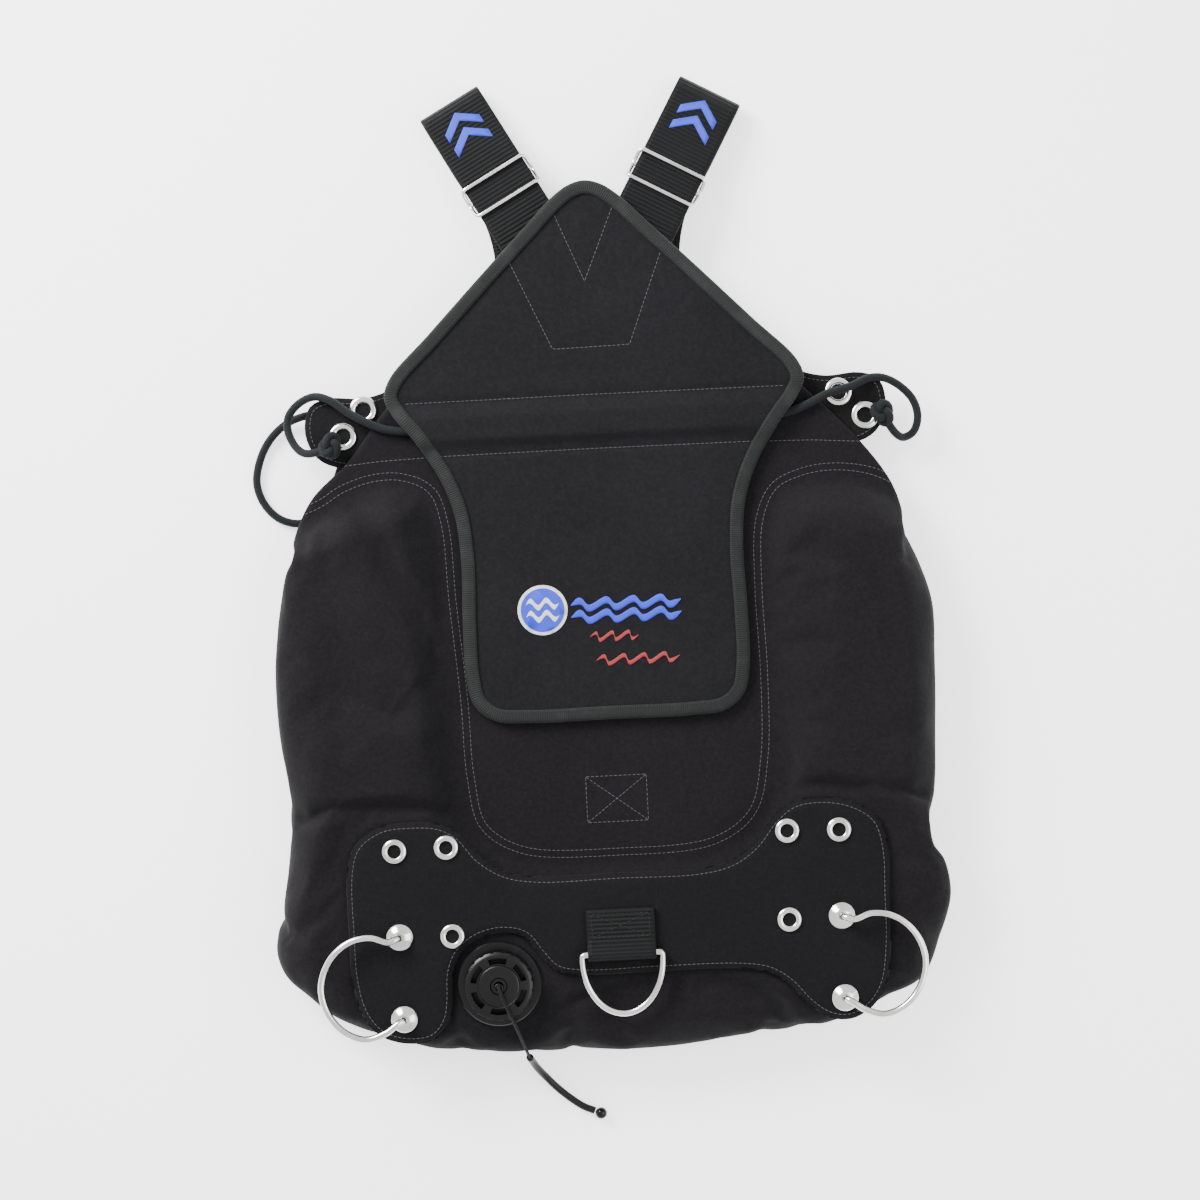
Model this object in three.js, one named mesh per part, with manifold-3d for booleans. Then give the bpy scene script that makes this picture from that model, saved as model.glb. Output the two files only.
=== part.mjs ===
// A back-mounted diving buoyancy vest, lying on its harness side with the outer face up.
// Millimetres, +X to the wearer's right as seen from behind, +Y towards the shoulders, +Z up out of the back.
import * as THREE from 'three';
import { mergeVertices } from 'three/addons/utils/BufferGeometryUtils.js';
import Module from 'manifold-3d';

const wasm = await Module();
wasm.setup();

// ---- Driving dimensions ----
const gap = 0.35; // clearance between pieces that touch
const plateRoom = 1.3; // between the wing and the soft harness plate under it

// Sheets and webbing
const shellSheet = 2; // lined wing fabric
const bladderWall = 1;
const webWidth = 50;
const webThick = 2.2;
const coverThick = 3; // padded back cover
const bindingWidth = 10;
const bindingThick = 1.6;
const plateThick = 2.4; // soft harness plate
const padThick = 9.6;
const stiffenerThick = 4;
const buttPanelThick = 1.6;
const closureThick = 0.8;

// Levels above the surface that the vest lies on
const recessHeight = 27; // free height under the middle of the wing
const lobeTop = 50; // top of the air cells
const inletLift = 15; // underside of the wing over the inflator inlet
const inletFlat = 60; // radius of that raised area

// Ramps of the air cells
const seamMargin = 8; // flat beyond the seam, for the flap's edge
const seamRamp = 32;
const edgeRamp = 24;
const bladderInset = 15;

// Hardware
const ringRod = 5;
const ringInner = webWidth + 4;
const ringDepth = 44;
const railRod = 5;
const cupRadius = 10;
const cupHeight = 4.5;
const grommetRadius = 9.2;
const grommetHole = 4.7;
const earGrommetRadius = 10.5;
const earGrommetHole = 5.5;
const grommetRim = 2;
const barrelWall = 1.2; // of a grommet
const bungee = 6;
const pullCord = 2.5;
const pullSleeve = 5.5;
const pullBead = 9;
const slideBar = 3.2;
const slideLength = 26;
const capRadius = 25.5;
const poppetRadius = 14;
const stemRadius = 2.2;
const poppetTravel = 4;
const springClosed = 3.2;

// ---- Levels worked out from the sizes above ----
const innerLow = recessHeight;
const innerHigh = innerLow + shellSheet;
const outerLow = innerHigh + gap;
const outerHigh = outerLow + shellSheet;
const closureRoom = 2 * closureThick + 3 * gap;
const coverLow = outerHigh + closureRoom;
const coverHigh = coverLow + coverThick;
const bindingLow = coverLow - gap - bindingThick;
const bindingHigh = coverHigh + gap + bindingThick;
const plateHigh = innerLow - plateRoom;
const plateLow = plateHigh - plateThick;
const padHigh = plateLow - gap;
const padLow = padHigh - padThick;
const harnessHigh = padLow - gap;
const harnessLow = harnessHigh - webThick;
const stiffenerLow = lobeTop + gap;
const stiffenerHigh = stiffenerLow + stiffenerThick;
const panelTop = stiffenerHigh + gap + buttPanelThick;

// ---- Places ----
const hingeY = 112;
const channelY = 132;
const valveAt = new THREE.Vector2(-91, -277);
const inletAt = new THREE.Vector2(-178, -15);
const tabAt = new THREE.Vector2(0, -224);
const buttGrommets = [[125, -175], [163, -176], [123.5, -240]];
const railPosts = [[162, -239], [161.5, -299]];
const earGrommets = { left: [[-172, 150], [-188, 131]], right: [[181, 146], [200, 128]] };
const strapCrossing = new THREE.Vector2(webWidth / 2 + 21, 283); // where a shoulder strap leaves the back cover
const strapLine = webWidth / 2 + 35; // of a shoulder strap down the back pad
const strapLean = THREE.MathUtils.degToRad(29); // of a shoulder strap, from +Y
const strapReach = 100; // from the crossing to the start of the fold
const slideCentre = 32; // of a strap slide, from the crossing
const chestTabY = 62;
const beltY = -80;

// ---- Materials ----
const finish = (color, roughness, metalness = 0) =>
  new THREE.MeshStandardMaterial({ color, roughness, metalness });
const shellFabric = finish(0x29282c, 0.85);
const coverFabric = finish(0x2e2c31, 0.85);
const bindingTape = finish(0x3b3b3b, 0.7);
const webbing = finish(0x3a3938, 0.75);
const steel = finish(0xd8d6d2, 0.2, 1);
const blackPlastic = finish(0x1c1d20, 0.4);
const blackRubber = finish(0x141414, 0.6);
const bladderFilm = finish(0xc9a227, 0.5);
const elasticCord = finish(0x33373a, 0.8);
const foam = finish(0x26262a, 0.9);

// ---- Solids ----
const point = (x, y, z) => new THREE.Vector3(x, y, z);
const flat = ([x, y]) => new THREE.Vector2(x, y);

function solid(geometry) {
  const bare = geometry.index ? geometry.toNonIndexed() : geometry.clone();
  Object.keys(bare.attributes).filter((name) => name !== 'position').forEach(
    (name) => bare.deleteAttribute(name)
  );
  const merged = mergeVertices(bare, 1e-3);
  const mesh = {
    numProp: 3, vertProperties: merged.attributes.position.array,
    triVerts: new Uint32Array(merged.index.array),
  };
  return new wasm.Manifold(new wasm.Mesh(mesh));
}

function geometryOf(manifold) {
  const { vertProperties, triVerts } = manifold.getMesh();
  return new THREE.BufferGeometry()
    .setAttribute('position', new THREE.BufferAttribute(new Float32Array(vertProperties), 3))
    .setIndex(new THREE.BufferAttribute(new Uint32Array(triVerts), 1));
}

const join = (...solids) => solids.reduce((whole, next) => whole.add(next));
const box = (x, y, z, at) => solid(new THREE.BoxGeometry(x, y, z).translate(at.x, at.y, at.z));

function prism(outline, low, high) {
  const geometry = new THREE.ExtrudeGeometry(
    new THREE.Shape(outline), { depth: high - low, bevelEnabled: false },
  );
  return solid(geometry.translate(0, 0, low));
}

// A solid of revolution about +Z at a place, from [radius, height] corners.
function turned(profile, at, segments = 24) {
  const corners = [...profile, profile[0]].map(flat);
  const geometry = new THREE.LatheGeometry(corners, segments).rotateX(Math.PI / 2);
  return solid(geometry.translate(at.x, at.y, at.z ?? 0));
}

const disc = (radius, low, high, at, segments) =>
  turned([[0, low], [radius, low], [radius, high], [0, high]], at, segments);
const washer = (inner, outer, low, high, at, segments) =>
  turned([[inner, low], [outer, low], [outer, high], [inner, high]], at, segments);

// A round rod, cord or wire along a smooth curve through points.
function rod(points, radius, sides, steps) {
  const section = new THREE.Shape(
    Array.from({ length: sides }, (_, i) => {
      const turn = (2 * Math.PI * i) / sides;
      return new THREE.Vector2(radius * Math.cos(turn), radius * Math.sin(turn));
    }),
  );
  const extrudePath = new THREE.CatmullRomCurve3(points, false, 'centripetal');
  return solid(new THREE.ExtrudeGeometry(section, { steps, extrudePath, bevelEnabled: false }));
}

// A closed solid through rings of points, each ring of the same number of points and convex.
function loft(rings) {
  const count = rings[0].length;
  const positions = rings.flat().flatMap((p) => [p.x, p.y, p.z]);
  const index = [];
  const at = (ring, i) => ring * count + (i % count);
  for (let ring = 0; ring + 1 < rings.length; ring++)
    for (let i = 0; i < count; i++) {
      index.push(at(ring, i), at(ring, i + 1), at(ring + 1, i + 1));
      index.push(at(ring, i), at(ring + 1, i + 1), at(ring + 1, i));
    }
  for (let i = 1; i + 1 < count; i++) {
    index.push(at(0, 0), at(0, i + 1), at(0, i));
    index.push(at(rings.length - 1, 0), at(rings.length - 1, i), at(rings.length - 1, i + 1));
  }
  const geometry = new THREE.BufferGeometry().setAttribute(
    'position', new THREE.Float32BufferAttribute(positions, 3),
  );
  const made = solid(geometry.setIndex(index));
  return made.volume() > 0 ? made : solid(geometry.setIndex(index.reverse()));
}

// A flat strap along points; across gives its level width direction at each share of the way.
function strap(points, across, steps, width = webWidth) {
  const path = new THREE.CatmullRomCurve3(points, false, 'centripetal');
  const rings = Array.from({ length: steps + 1 }, (_, i) => {
    const share = i / steps;
    const middle = path.getPointAt(share);
    const side = across(share).normalize();
    const face = path.getTangentAt(share).cross(side).normalize();
    const corner = (u, v) =>
      middle.clone().addScaledVector(side, (u * width) / 2).addScaledVector(face, (v * webThick) / 2);
    return [corner(-1, -1), corner(1, -1), corner(1, 1), corner(-1, 1)];
  });
  return loft(rings);
}

// ---- Outlines, each half from the bottom middle to the top middle ----
const bothSides = (half) => [
  ...half,
  ...half.filter(([x]) => x > 0).reverse().map(([x, y]) => [-x, y]),
];

function smooth(corners, count) {
  const curve = new THREE.CatmullRomCurve3(corners.map(([x, y]) => point(x, y, 0)), true, 'centripetal');
  return curve.getSpacedPoints(count).slice(0, count).map(({ x, y }) => new THREE.Vector2(x, y));
}

// An outline moved outwards; a negative distance moves it inwards.
function grown(outline, distance) {
  const turn = THREE.ShapeUtils.area(outline) > 0 ? 1 : -1;
  return outline.map((p, i) => {
    const before = outline.at(i - 1);
    const after = outline[(i + 1) % outline.length];
    const along = after.clone().sub(before).normalize();
    return new THREE.Vector2(p.x + along.y * distance * turn, p.y - along.x * distance * turn);
  });
}

const wingHalf = [
  [0, -333], [85, -331], [150, -321], [200, -303], [232, -275], [247, -238], [244, -190], [247, -140],
  [248, -70], [243, -10], [233, 40], [219, 76], [195, 108], [153, 153], [110, 190], [60, 215], [0, 222],
];
const seamHalf = [
  [0, -189], [40, -188], [73, -184], [96, -170], [107, -148], [110, -115], [109, -5], [110, 45], [117, 70],
  [133, 86], [158, 92], [195, 90], [232, 76], [275, 60],
];
const coverHalf = [
  [0, -88], [60, -88], [86, -85], [100, -73], [105, -52], [105.5, -10], [104.5, 35], [108, 70], [118, 97],
  [136, 126], [150, 144], [155.5, 157], [151, 171], [120, 203], [80, 244], [45, 279], [25, 299], [12, 308],
  [0, 311],
];
const plateHalf = [
  [0, -184], [45, -183], [72, -160], [82, -110], [86, 60], [104, 104], [150, 108], [192, 108], [208, 116],
  [216, 134], [212, 154], [198, 160], [170, 159], [145, 168], [105, 208], [66, 248], [34, 280], [0, 292],
];
const padHalf = [
  [0, -112], [50, -112], [68, -104], [75, -84], [77, 20], [84, 80], [86, 120], [70, 165], [44, 205],
  [0, 222],
];
const buttStitch = [
  [30, -271], [86, -272], [108, -276], [123, -286], [136, -301], [150, -311], [165, -313], [180, -305],
  [190, -290], [195, -262], [196, -225], [196, -190], [190, -170], [172, -158], [150, -154], [130, -157],
  [116, -168], [102, -185], [84, -197], [60, -202], [0, -202], [-60, -202], [-84, -197], [-102, -185],
  [-116, -168], [-130, -160], [-150, -158], [-172, -160], [-190, -172], [-196, -190], [-197, -235],
  [-196, -270], [-190, -294], [-178, -309], [-160, -315], [-141, -313], [-131, -301], [-128, -285],
  [-127, -268], [-121, -253], [-108, -242], [-88, -237], [-70, -241], [-59, -255], [-48, -267],
  [-30, -271],
];

const wingOutline = smooth(bothSides(wingHalf), 36);
const coverOutline = smooth(bothSides(coverHalf), 48);
const plateOutline = smooth(bothSides(plateHalf), 44);
const padOutline = smooth(bothSides(padHalf), 32);
const buttOutline = smooth(buttStitch, 60);
const seamPath = [...seamHalf.slice(1).reverse().map(([x, y]) => [-x, y]), ...seamHalf].map(flat);
const core = [...seamPath, flat([275, 400]), flat([-275, 400])];

// ---- Height of the wing's two faces ----
function distanceTo(path, x, y, closed) {
  const here = new THREE.Vector3(x, y, 0);
  const nearest = new THREE.Vector3();
  const last = closed ? path.length : path.length - 1;
  let least = Infinity;
  for (let i = 0; i < last; i++) {
    const end = path[(i + 1) % path.length];
    const edge = new THREE.Line3(point(path[i].x, path[i].y, 0), point(end.x, end.y, 0));
    least = Math.min(least, edge.closestPointToPoint(here, true, nearest).distanceTo(here));
  }
  return least;
}

function inside(path, x, y) {
  let odd = false;
  path.forEach((a, i) => {
    const b = path[(i + 1) % path.length];
    if (a.y > y !== b.y > y && x < ((b.x - a.x) * (y - a.y)) / (b.y - a.y) + a.x) odd = !odd;
  });
  return odd;
}

// 0 on the flat middle and at the wing's edge, 1 where the air cells are at full height.
function fullness(x, y) {
  if (inside(core, x, y)) return 0;
  const rise = THREE.MathUtils.smoothstep(
    distanceTo(seamPath, x, y, false), seamMargin, seamMargin + seamRamp,
  );
  const inFromEdge = Math.min(distanceTo(wingOutline, x, y, true) / edgeRamp, 1);
  return rise * Math.sqrt(1 - (1 - inFromEdge) ** 2);
}

const wingTop = (x, y) => outerHigh + (lobeTop - outerHigh) * fullness(x, y);
function wingBottom(x, y) {
  const lobe = innerLow * (1 - fullness(x, y));
  const near = 1 - THREE.MathUtils.smoothstep(
    inletAt.distanceTo(new THREE.Vector2(x, y)), inletFlat, inletFlat + 40,
  );
  return THREE.MathUtils.lerp(lobe, Math.max(lobe, inletLift), near);
}

// A sheet over the whole wing between two heights, on rings about the wing's middle. One ring follows the
// seam.
const wingMiddle = new THREE.Vector2(0, -60);
function seamShare(p) {
  let share = 0.2;
  const here = () => wingMiddle.clone().lerp(p, share);
  while (share < 0.6 && inside(core, here().x, here().y)) share += 0.01;
  return share;
}
const beyondSeam = [0.06, 0.22, 0.42, 0.66, 0.86, 0.96, 1];
const wingRings = [
  wingOutline.map((p) => wingMiddle.clone().lerp(p, seamShare(p) / 2)),
  ...beyondSeam.map(
    (share) =>
      wingOutline.map((p) => wingMiddle.clone().lerp(p, THREE.MathUtils.lerp(seamShare(p), 1, share)))
  ),
];
function wingSheet(low, high) {
  const count = wingOutline.length;
  const positions = [];
  const index = [];
  const layer = (height) => {
    const start = positions.length / 3;
    [[wingMiddle], ...wingRings].flat().forEach(({ x, y }) => positions.push(x, y, height(x, y)));
    return (ring, i) => (ring < 0 ? start : start + 1 + ring * count + (i % count));
  };
  const quad = (a, b, c, d) => index.push(a, b, c, a, c, d);
  const skin = (at, up) => {
    for (let i = 0; i < count; i++) {
      index.push(...(up ? [at(-1), at(0, i), at(0, i + 1)] : [at(-1), at(0, i + 1), at(0, i)]));
      for (let ring = 0; ring + 1 < wingRings.length; ring++) {
        const [a, b, c, d] = [at(ring, i), at(ring + 1, i), at(ring + 1, i + 1), at(ring, i + 1)];
        if (up) quad(a, b, c, d);
        else quad(a, d, c, b);
      }
    }
  };
  const bottom = layer(low);
  const top = layer(high);
  skin(bottom, false);
  skin(top, true);
  const rim = wingRings.length - 1;
  for (let i = 0; i < count; i++) quad(bottom(rim, i), bottom(rim, i + 1), top(rim, i + 1), top(rim, i));
  const geometry = new THREE.BufferGeometry().setAttribute(
    'position', new THREE.Float32BufferAttribute(positions, 3),
  );
  return solid(geometry.setIndex(index));
}
const aboveTop = (lift) => (x, y) => wingTop(x, y) + lift;
const aboveBottom = (lift) => (x, y) => wingBottom(x, y) + lift;

// ---- The vest ----
const vest = new THREE.Group();
const cords = new THREE.Group();
function add(name, shape, material, group = vest) {
  const mesh = new THREE.Mesh(shape.isBufferGeometry ? shape : geometryOf(shape), material);
  mesh.name = name;
  group.add(mesh);
}

// Wing: two sewn shells with the air bladder between them
const tall = 200;
const through = (radius, at, segments = 12) => disc(radius, -tall, tall, at, segments);
const valveNeck = 20;
const inletBarrel = 12.5;
const valveHole = through(valveNeck + gap, valveAt, 24);
const inletHole = through(inletBarrel + gap, inletAt, 16);
add('wing_outer_shell', wingSheet(aboveTop(-shellSheet), wingTop).subtract(valveHole), shellFabric);
add('wing_inner_shell', wingSheet(wingBottom, aboveBottom(shellSheet)).subtract(inletHole), shellFabric);

function airCell(inset, clearance) {
  const sheet = wingSheet(aboveBottom(shellSheet + clearance), aboveTop(-shellSheet - clearance));
  const outer = prism(grown(wingOutline, -inset), -tall, tall);
  return sheet.intersect(outer).subtract(prism(grown(core, inset), -tall, tall));
}
const bladderSpace = airCell(bladderInset + 2 * bladderWall, gap + bladderWall);
const bladder = airCell(bladderInset, gap).subtract(bladderSpace);
add('air_bladder', bladder.subtract(valveHole).subtract(inletHole), bladderFilm);

// Back cover: sewn above the hinge seam, a loose flap below it, with a cord channel across its foot
const channelRise = bungee + 4 * gap - closureRoom;
const channelProfile = [
  [-tall, 0], [hingeY + 3, 0], [channelY - 7, 1], [channelY + 7, 1], [channelY + 19, 0], [2 * tall, 0],
];
function coverSlab(low, high) {
  const lower = channelProfile.map(([y, rise]) => new THREE.Vector2(y, low + rise * channelRise));
  const upper = channelProfile.map(([y, rise]) => new THREE.Vector2(y, high + rise * channelRise)).reverse();
  const geometry = new THREE.ExtrudeGeometry(
    new THREE.Shape([...lower, ...upper]), { depth: 2 * tall, bevelEnabled: false },
  );
  // The extrusion's x, y and z become the vest's y, z and x.
  geometry.applyMatrix4(new THREE.Matrix4().makeBasis(point(0, 1, 0), point(0, 0, 1), point(1, 0, 0)));
  return solid(geometry.translate(-tall, 0, 0));
}
const underCover = outerHigh + 2 * gap + bungee / 2;
const bungeeRoute = [
  point(-197, 124, 34.5), point(-207, 120, 33), point(-217, 120, 28.5), point(-224, 126, 24),
  point(-229, 138, 22), point(-228, 148, 22), point(-220, 157, 24), point(-208, 161.5, 28),
  point(-196, 158, underCover - 3), point(-184, 149, underCover - 1.6), point(-171, 141, underCover),
  point(-158, 135, underCover), point(-140, 132, underCover), point(-70, 132, underCover),
  point(0, 132, underCover), point(70, 132, underCover), point(140, 132, underCover),
  point(158, 138, underCover), point(172, 144.5, underCover), point(189, 149, underCover - 1.6),
  point(204, 155, 28.5), point(215, 155, 24), point(227, 149, 20), point(237, 138, 18),
  point(240, 125, 18), point(236, 114, 20), point(228, 110, 23), point(222, 113, 28.5),
  point(218, 118, 32), point(213, 127, 34.5),
];
const bungeeRoom = rod(bungeeRoute, bungee / 2 + gap, 8, 44);
const aboveHinge = prism(
  [[-tall, hingeY + gap], [tall, hingeY + gap], [tall, 2 * tall], [-tall, 2 * tall]].map(flat), -tall, tall,
);
const belowHinge = prism(
  [[-tall, -tall], [tall, -tall], [tall, hingeY - gap], [-tall, hingeY - gap]].map(flat), -tall, tall,
);
const coverSheet = coverSlab(coverLow, coverHigh).intersect(
  prism(grown(coverOutline, -bindingThick - gap), -tall, tall)
);
const coverRoom = coverSlab(coverLow - gap, coverHigh + gap).intersect(
  prism(grown(coverOutline, -bindingThick), -tall, tall)
);
const bindingRing = coverSlab(bindingLow, bindingHigh)
  .intersect(prism(coverOutline, -tall, tall))
  .subtract(prism(grown(coverOutline, -bindingWidth), -tall, tall))
  .subtract(coverRoom);
add('back_cover', coverSheet.intersect(aboveHinge).subtract(bungeeRoom), coverFabric);
add('back_cover_binding', bindingRing.intersect(aboveHinge).subtract(bungeeRoom), bindingTape);
add('cover_flap', coverSheet.intersect(belowHinge), coverFabric);
add('cover_flap_binding', bindingRing.intersect(belowHinge), bindingTape);

// Hook-and-loop closure of the flap
const closureWidth = 120;
const closureDepth = 25;
const closureY = -62;
const closureLevel = outerHigh + gap + closureThick / 2;
add(
  'closure_loop_strip', box(closureWidth, closureDepth, closureThick, point(0, closureY, closureLevel)),
  webbing,
);
add(
  'closure_hook_strip',
  box(closureWidth, closureDepth, closureThick, point(0, closureY, closureLevel + closureThick + gap)),
  webbing,
);

// Harness plate with its two ears, and the back pad under it
const earHoles = [...earGrommets.left, ...earGrommets.right].map(
  ([x, y]) => through(earGrommetHole + barrelWall + gap, flat([x, y]))
);
add(
  'harness_plate',
  earHoles.reduce((plate, hole) => plate.subtract(hole), prism(plateOutline, plateLow, plateHigh)), foam,
);
add('back_pad', prism(padOutline, padLow, padHigh), foam);

// A pressed grommet: a domed rim on the face and a barrel down through it
function grommet(name, radius, hole, at, face, barrel) {
  const wall = hole + barrelWall;
  const profile = [
    [hole, face - barrel], [wall, face - barrel], [wall, face + gap], [radius, face + gap],
    [radius - 0.5, face + gap + grommetRim * 0.6],
    [(radius + hole) / 2, face + gap + grommetRim], [hole, face + gap + grommetRim * 0.6],
  ];
  add(name, turned(profile, at, 12), steel);
}

// Lower back: stiffener and its cover panel over the air cell, with grommets and two rails
const buttHoles = [-1, 1].flatMap(
  (side) => buttGrommets.map(([x, y]) => through(grommetHole + barrelWall + gap, flat([side * x, y])))
);
const postHoles = [-1, 1].flatMap(
  (side) => railPosts.map(([x, y]) => through(railRod / 2 + gap, flat([side * x, y])))
);
const cut = (whole, cutters) => cutters.reduce((rest, cutter) => rest.subtract(cutter), whole);
const stiffenerInset = 3;
const backingThick = 2.2;
const backingWidth = 14;
const backingLength = 70;
const backingAt = (side) =>
  point(side * railPosts[0][0], (railPosts[0][1] + railPosts[1][1]) / 2, stiffenerLow + backingThick / 2);
const backingPockets = [-1, 1].map((side) =>
  box(
    backingWidth + 2 * gap, backingLength + 2 * gap, 2 * (backingThick + gap),
    backingAt(side).setZ(stiffenerLow),
  ),
);
const stiffener = prism(grown(buttOutline, -stiffenerInset), stiffenerLow, stiffenerHigh);
add('butt_stiffener', cut(stiffener, [...buttHoles, ...postHoles, ...backingPockets]), blackPlastic);
const stiffenerRoom = prism(grown(buttOutline, gap - stiffenerInset), -tall, stiffenerHigh + gap);
const panel = prism(grown(buttOutline, 2.5), lobeTop + gap, panelTop).subtract(stiffenerRoom);
add('butt_panel', cut(panel, [...buttHoles, ...postHoles]), coverFabric);

const sideName = (side) => (side < 0 ? 'left' : 'right');
for (const side of [-1, 1])
  buttGrommets.forEach(([x, y], i) => {
    const at = flat([side * x, y]);
    grommet(
      `butt_grommet_${sideName(side)}_${i + 1}`, grommetRadius, grommetHole, at, panelTop,
      buttPanelThick + stiffenerThick,
    );
  });

const railCurve = [
  [170, -241], [183, -237], [199, -240], [213, -252], [220, -270], [217, -289], [206, -304], [190, -311],
  [175, -307],
];
const railLevel = panelTop + cupHeight + 6;
for (const side of [-1, 1]) {
  const posts = railPosts.map(([x, y]) => point(side * x, y, railLevel));
  const legs = posts.map((post) => disc(railRod / 2, stiffenerLow + 1, railLevel, flat([post.x, post.y]), 8));
  const elbows = posts.map(
    (post) => solid(new THREE.SphereGeometry(railRod / 2, 8, 6).translate(post.x, post.y, post.z))
  );
  const arc = rod(
    [posts[0], ...railCurve.map(([x, y]) => point(side * x, y, railLevel)), posts[1]], railRod / 2, 8, 24,
  );
  add(`rail_${sideName(side)}`, join(arc, ...legs, ...elbows), steel);
  posts.forEach((post, i) => {
    const face = panelTop + gap;
    const bore = railRod / 2 + gap;
    const cup = [
      [bore, face], [cupRadius, face], [cupRadius - 0.6, face + 1.4],
      [cupRadius * 0.55, face + cupHeight - 0.6], [bore, face + cupHeight],
    ];
    add(`rail_cup_${sideName(side)}_${i + 1}`, turned(cup, flat([post.x, post.y]), 12), steel);
  });
  const backing = box(backingWidth, backingLength, backingThick, backingAt(side));
  add(`rail_backing_${sideName(side)}`, cut(backing, postHoles), steel);
}

// A D-ring in a doubled webbing tab. The tab hangs from a face: up is 1 above the face, -1 below it.
const loopInner = ringRod / 2 + gap;
const loopOuter = loopInner + webThick;
const tabPatch = 29;
function ringAndTab(name, at, face, up, tilt) {
  const barY = at.y - tabPatch - loopOuter;
  const barZ = face + up * (gap + loopOuter);
  const alongX = (radius, length) => new THREE.CylinderGeometry(
    radius, radius, length, 16,
  ).rotateZ(Math.PI / 2).translate(at.x, barY, barZ);
  const patch = box(
    webWidth, tabPatch + loopOuter, 2 * webThick,
    point(at.x, at.y - (tabPatch + loopOuter) / 2, face + up * (gap + webThick)),
  );
  const loop = solid(alongX(loopOuter, webWidth - 4));
  add(`${name}_tab`, patch.add(loop).subtract(solid(alongX(loopInner, 2 * webWidth))), webbing);

  const halfInner = ringInner / 2 + ringRod / 2;
  const bend = Array.from({ length: 13 }, (_, i) => {
    const turn = (Math.PI * i) / 12;
    return point(halfInner * Math.cos(turn), -4 - (ringDepth - 4) * Math.sin(turn), 0);
  });
  const bow = rod([point(halfInner, 0, 0), ...bend, point(-halfInner, 0, 0)], ringRod / 2, 8, 20);
  const bar = solid(
    new THREE.CylinderGeometry(
      ringRod / 2, ringRod / 2, 2 * halfInner + ringRod * 0.6, 8,
    ).rotateZ(Math.PI / 2)
  );
  const ring = geometryOf(bow.add(bar)).rotateX(THREE.MathUtils.degToRad(tilt)).translate(at.x, barY, barZ);
  add(`${name}_ring`, ring, steel);
}
ringAndTab('rear', tabAt, panelTop, 1, 3);

// Dump valve
const flangeHigh = lobeTop + gap + 2.8;
const neckLow = lobeTop - shellSheet - 2 * gap - bladderWall - 4;
const collarRadius = 22;
const collarHigh = flangeHigh + 1;
const valveBody = [
  [17, neckLow], [valveNeck, neckLow], [valveNeck, lobeTop + gap], [31, lobeTop + gap], [30, flangeHigh],
  [collarRadius, flangeHigh], [collarRadius, collarHigh], [17, collarHigh],
];
add('valve_body', turned(valveBody, valveAt, 24), blackPlastic);
const nutTop = lobeTop - shellSheet - 2 * gap - bladderWall;
add('valve_retaining_nut', washer(valveNeck + gap, 26, nutTop - 3, nutTop, valveAt, 24), blackPlastic);

const sealLow = collarHigh + gap;
const sealThick = 1.6;
const poppetLow = sealLow + sealThick + gap;
const poppetThick = 1.2;
const capRoof = 2.6;
const capLow = flangeHigh + gap;
const capHigh = poppetLow + poppetThick + poppetTravel + springClosed + capRoof;
const capSkirt = [
  [collarRadius + gap, capLow], [capRadius, capLow], [capRadius, capHigh - 2], [capRadius - 2, capHigh],
  [stemRadius + 1.4, capHigh],
  [stemRadius + 1.4, capHigh - capRoof], [collarRadius + gap, capHigh - capRoof],
];
const capTeeth = Array.from({ length: 12 }, (_, i) => {
  const turn = (2 * Math.PI * i) / 12;
  const spread = capRadius + 1.2;
  return disc(
    2, -tall, tall, flat([valveAt.x + spread * Math.cos(turn), valveAt.y + spread * Math.sin(turn)]), 6,
  );
});
const capWindows = Array.from({ length: 6 }, (_, i) => {
  const slot = new THREE.Shape();
  const middle = (Math.PI * (2 * i + 1)) / 6;
  const half = THREE.MathUtils.degToRad(21);
  slot.absarc(0, 0, 21, middle - half, middle + half, false);
  slot.absarc(0, 0, 16, middle + half, middle - half, true);
  const geometry = new THREE.ExtrudeGeometry(
    slot, { depth: 2 * capRoof, bevelEnabled: false, curveSegments: 4 },
  );
  return solid(geometry.translate(valveAt.x, valveAt.y, capHigh - 1.5 * capRoof));
});
add('valve_cap', cut(turned(capSkirt, valveAt, 24), [...capTeeth, ...capWindows]), blackPlastic);

const stemTop = capHigh + 1;
add('valve_seal', disc(poppetRadius + 4, sealLow, sealLow + sealThick, valveAt, 24), blackRubber);
const poppet = [
  [0, poppetLow], [poppetRadius, poppetLow], [poppetRadius, poppetLow + poppetThick],
  [stemRadius, poppetLow + poppetThick], [stemRadius, stemTop], [0, stemTop],
];
add('valve_poppet', turned(poppet, valveAt, 16), blackPlastic);
const springWire = 0.8;
const springRadius = 6;
const springLow = poppetLow + poppetThick + gap + springWire / 2;
const springHigh = capHigh - capRoof - gap - springWire / 2;
const springTurns = 3;
const spring = Array.from({ length: springTurns * 10 + 1 }, (_, i) => {
  const turn = (2 * Math.PI * i) / 10;
  const height = THREE.MathUtils.lerp(springLow, springHigh, i / (springTurns * 10));
  return point(valveAt.x + springRadius * Math.cos(turn), valveAt.y + springRadius * Math.sin(turn), height);
});
add('valve_spring', rod(spring, springWire / 2, 4, springTurns * 10), steel);

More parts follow.
